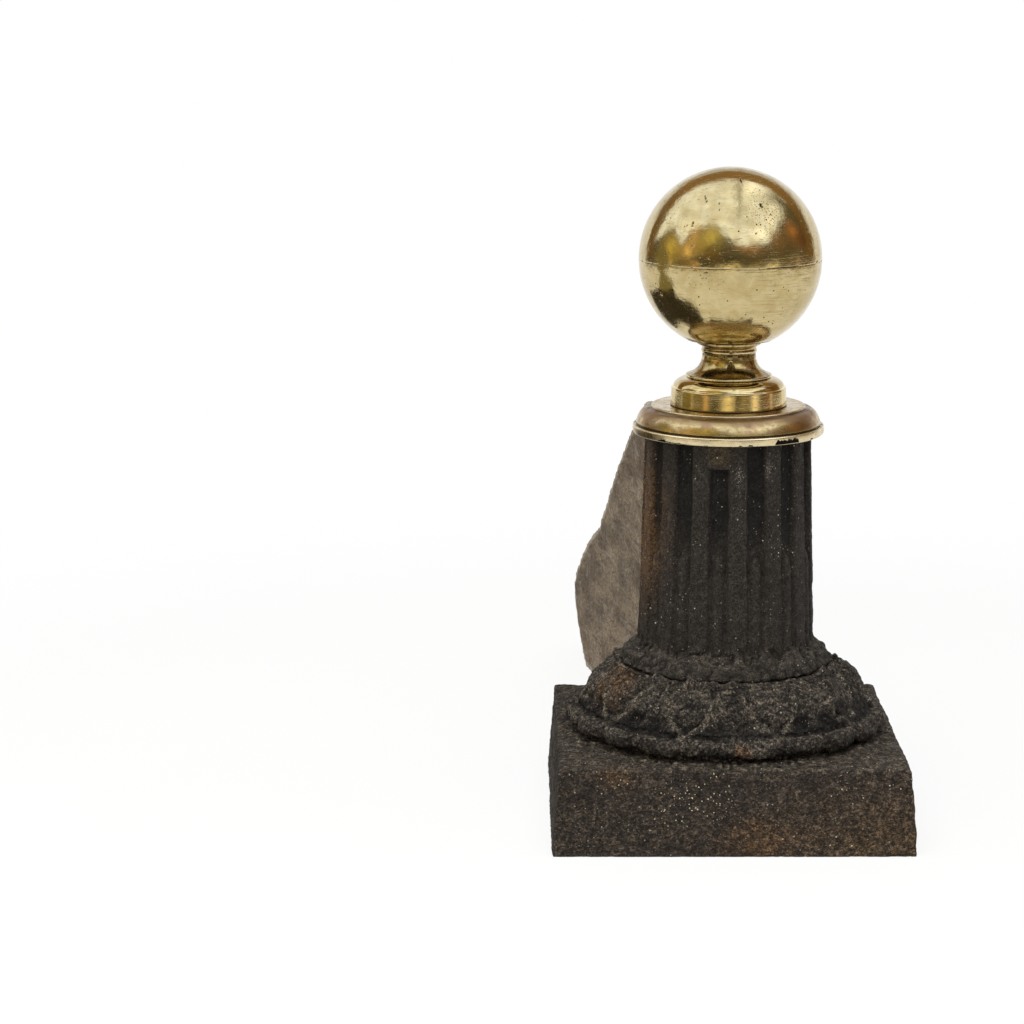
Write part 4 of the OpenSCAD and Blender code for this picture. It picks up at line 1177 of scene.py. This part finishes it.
def front_colour(way, azimuth, elevation, low):
    """The dark room with its blurred things, and the stripes low down."""
    uneven = 0.5 * lumps(way * np.array([8, 8, 30]), 1, 27)
    room = np.broadcast_to(DARK_ROOM, way.shape) * (1 + uneven)[..., None]
    for a, e, wide, tall, other, strength in ROOM_THINGS:
        room = lay(room, strength * bell(azimuth - a, wide) * bell(elevation - e, tall), other)
    for a, wide, other in LOW_STRIPES:
        room = lay(room, low * bell((azimuth - a) / wide, 0.9), other)
    return room


def mirrored_room():
    """Shell that only mirrors see, with its colours and how solid it is at every point."""
    azimuth, elevation = np.meshgrid(np.arange(-180, 181, 1.25), np.arange(-9, 91, 0.75), indexing="ij")
    way = direction(azimuth, elevation)
    to_camera = direction(-3.9, 6.4)
    right, up = np.array([0.998, -0.068, 0.0]), np.array([0.008, 0.111, 0.994])
    off_camera = np.degrees(np.arccos(np.clip(way @ to_camera, -1, 1)))
    # where on the ball each direction is mirrored, seen from the camera: across and over its middle, in radii
    normal = way + to_camera
    normal = normal / np.maximum(np.linalg.norm(normal, axis=-1, keepdims=True), 1e-6)
    across, over = normal @ right, normal @ up
    colour = ceiling_colour(way, across, over)
    low = 1 - ramp(elevation, -2.2, 0.6)
    top = np.interp(azimuth, *np.array(SKYLINE, float).T) + 2.5 * lumps(way * 12, 1, 8)
    in_room = (1 - ramp(elevation, top - 4, top + 4)) * (np.abs(azimuth) < 123 + 20 * low)
    colour = lay(colour, in_room, front_colour(way, azimuth, elevation, low))
    # the frame's mirror image lies nearer the ball's edge at the top than at the sides
    aloft = ramp(over / np.maximum(np.hypot(across, over), 1e-6), 0.4, 0.95)
    inner, outer = 111.5 + 4 * aloft, 129 + 12 * aloft
    behind = ramp(off_camera, outer, outer + 4)
    frame_share = ramp(off_camera, inner, inner + 2.5) * (1 - behind) * ramp(elevation, -4, -1)
    colour = lay(colour, frame_share, FRAME_BROWN[None] * (1 + 0.6 * aloft[..., None]))
    high_back = behind * ramp(elevation, 6, 26)
    colour = lay(colour, high_back, BACK_WALL)
    solid = np.maximum((1 - behind) * ramp(elevation, -7.9, -7.2), high_back)
    index = np.arange(azimuth.size).reshape(azimuth.shape)
    shell = make_piece("mirrored_room", way * ROOM + BALL, open_quads(index, False),
                       glow=np.concatenate([colour, solid[..., None]], -1))
    only_in_mirrors(shell, "room_glow")


def only_in_mirrors(piece, name):
    """Paints the piece with the light of its mark glow, and hides it from all but mirror rays."""
    paint = Finish(name, Base_Color=(0, 0, 0), Specular_IOR_Level=0, Roughness=1, Emission_Strength=1)
    light = paint.mark("glow", "Color")
    paint.feed(paint.surface.inputs["Emission Color"], light)
    paint.feed(paint.surface.inputs["Alpha"], light.output("Alpha"))
    piece.data.materials.append(paint.material)
    piece.visible_camera = piece.visible_diffuse = piece.visible_shadow = piece.visible_transmission = False


def dark_stand(place):
    """A dark stand to the left of the andiron with a dark board behind it, which the brass mirrors."""
    iron_glow, brass_glow, board_glow = (0.05, 0.042, 0.03), (0.30, 0.25, 0.11), (0.06, 0.05, 0.035)
    brass_from = 193
    globe_r, globe_z = 46, 283
    turns = np.linspace(0.35, math.pi - 0.05, 14)
    globe = [(globe_r * math.sin(a), globe_z - globe_r * math.cos(a)) for a in turns]
    outline = rounded([(2, 3), (112, 3, 4), (110, 42, 4), (92, 48, 4), (84, 66, 8), (60, 80, 6), (48, 90, 2),
                       (45, 196), (50, 197, 2), (42, 208, 4), (31, 210), (29, 222, 2), (15, 230, 4),
                       (16, 243)] + globe, 8)

    def glow(angle, radius, height):
        lit = ramp(height, brass_from, brass_from + 5)
        colour = lay(np.broadcast_to(np.array(iron_glow), (*radius.shape, 3)), lit, brass_glow)
        return np.zeros_like(radius), {"glow": np.concatenate([colour, np.ones((*radius.shape, 1))], -1)}

    stand = turned("dark_stand", outline, 48, glow)
    along, tall = np.array([45, 120, 190, 250, 337]), np.array([187, 187, 180, 120, 40])
    sideways = along * math.tan(math.radians(11))
    foot = np.full(len(along), 2.0)
    corners = np.stack([np.stack([sideways, along, height], -1) for height in (foot, tall)], 1)
    index = np.arange(2 * len(along)).reshape(-1, 2)
    board = make_piece("dark_board", corners, open_quads(index, False),
                       glow=np.broadcast_to(np.array([*board_glow, 1.0]), (len(along), 2, 4)))
    for piece, paint in ((stand, "stand_glow"), (board, "board_glow")):
        piece.location = place
        only_in_mirrors(piece, paint)


def soft_box(name, place, target, wide, high, watts):
    lamp = bpy.data.lights.new(name, "AREA")
    lamp.shape = "RECTANGLE"
    lamp.size, lamp.size_y = wide, high
    lamp.energy = watts
    holder = bpy.data.objects.new(name, lamp)
    holder.location = place
    holder.rotation_euler = (Vector(target) - Vector(place)).to_track_quat("-Z", "Y").to_euler()
    holder.visible_camera = holder.visible_glossy = False
    bpy.context.scene.collection.objects.link(holder)


def set_up_camera():
    looks_down = 0.1935
    lens = bpy.data.cameras.new("camera")
    lens.sensor_width = 36
    lens.lens = 111.07
    camera = bpy.data.objects.new("camera", lens)
    camera.location = (-0.1089, -1.5711, 0.4622)
    camera.rotation_euler = (math.pi / 2 - looks_down, 0, 0)
    bpy.context.scene.collection.objects.link(camera)
    bpy.context.scene.camera = camera


light_world()
floor_piece()
mirrored_room()
dark_stand((-0.222, 0.002, 0))
soft_box("ceiling_panel", (-0.15, -0.55, 1.7), (-0.1, -0.35, 0), 1.5, 1.3, 26)
soft_box("front_fill", (-0.7, -2.4, 1.2), (0, 0, 0.15), 1.4, 1.0, 20)
set_up_camera()
bpy.context.scene.view_settings.view_transform = "Standard"
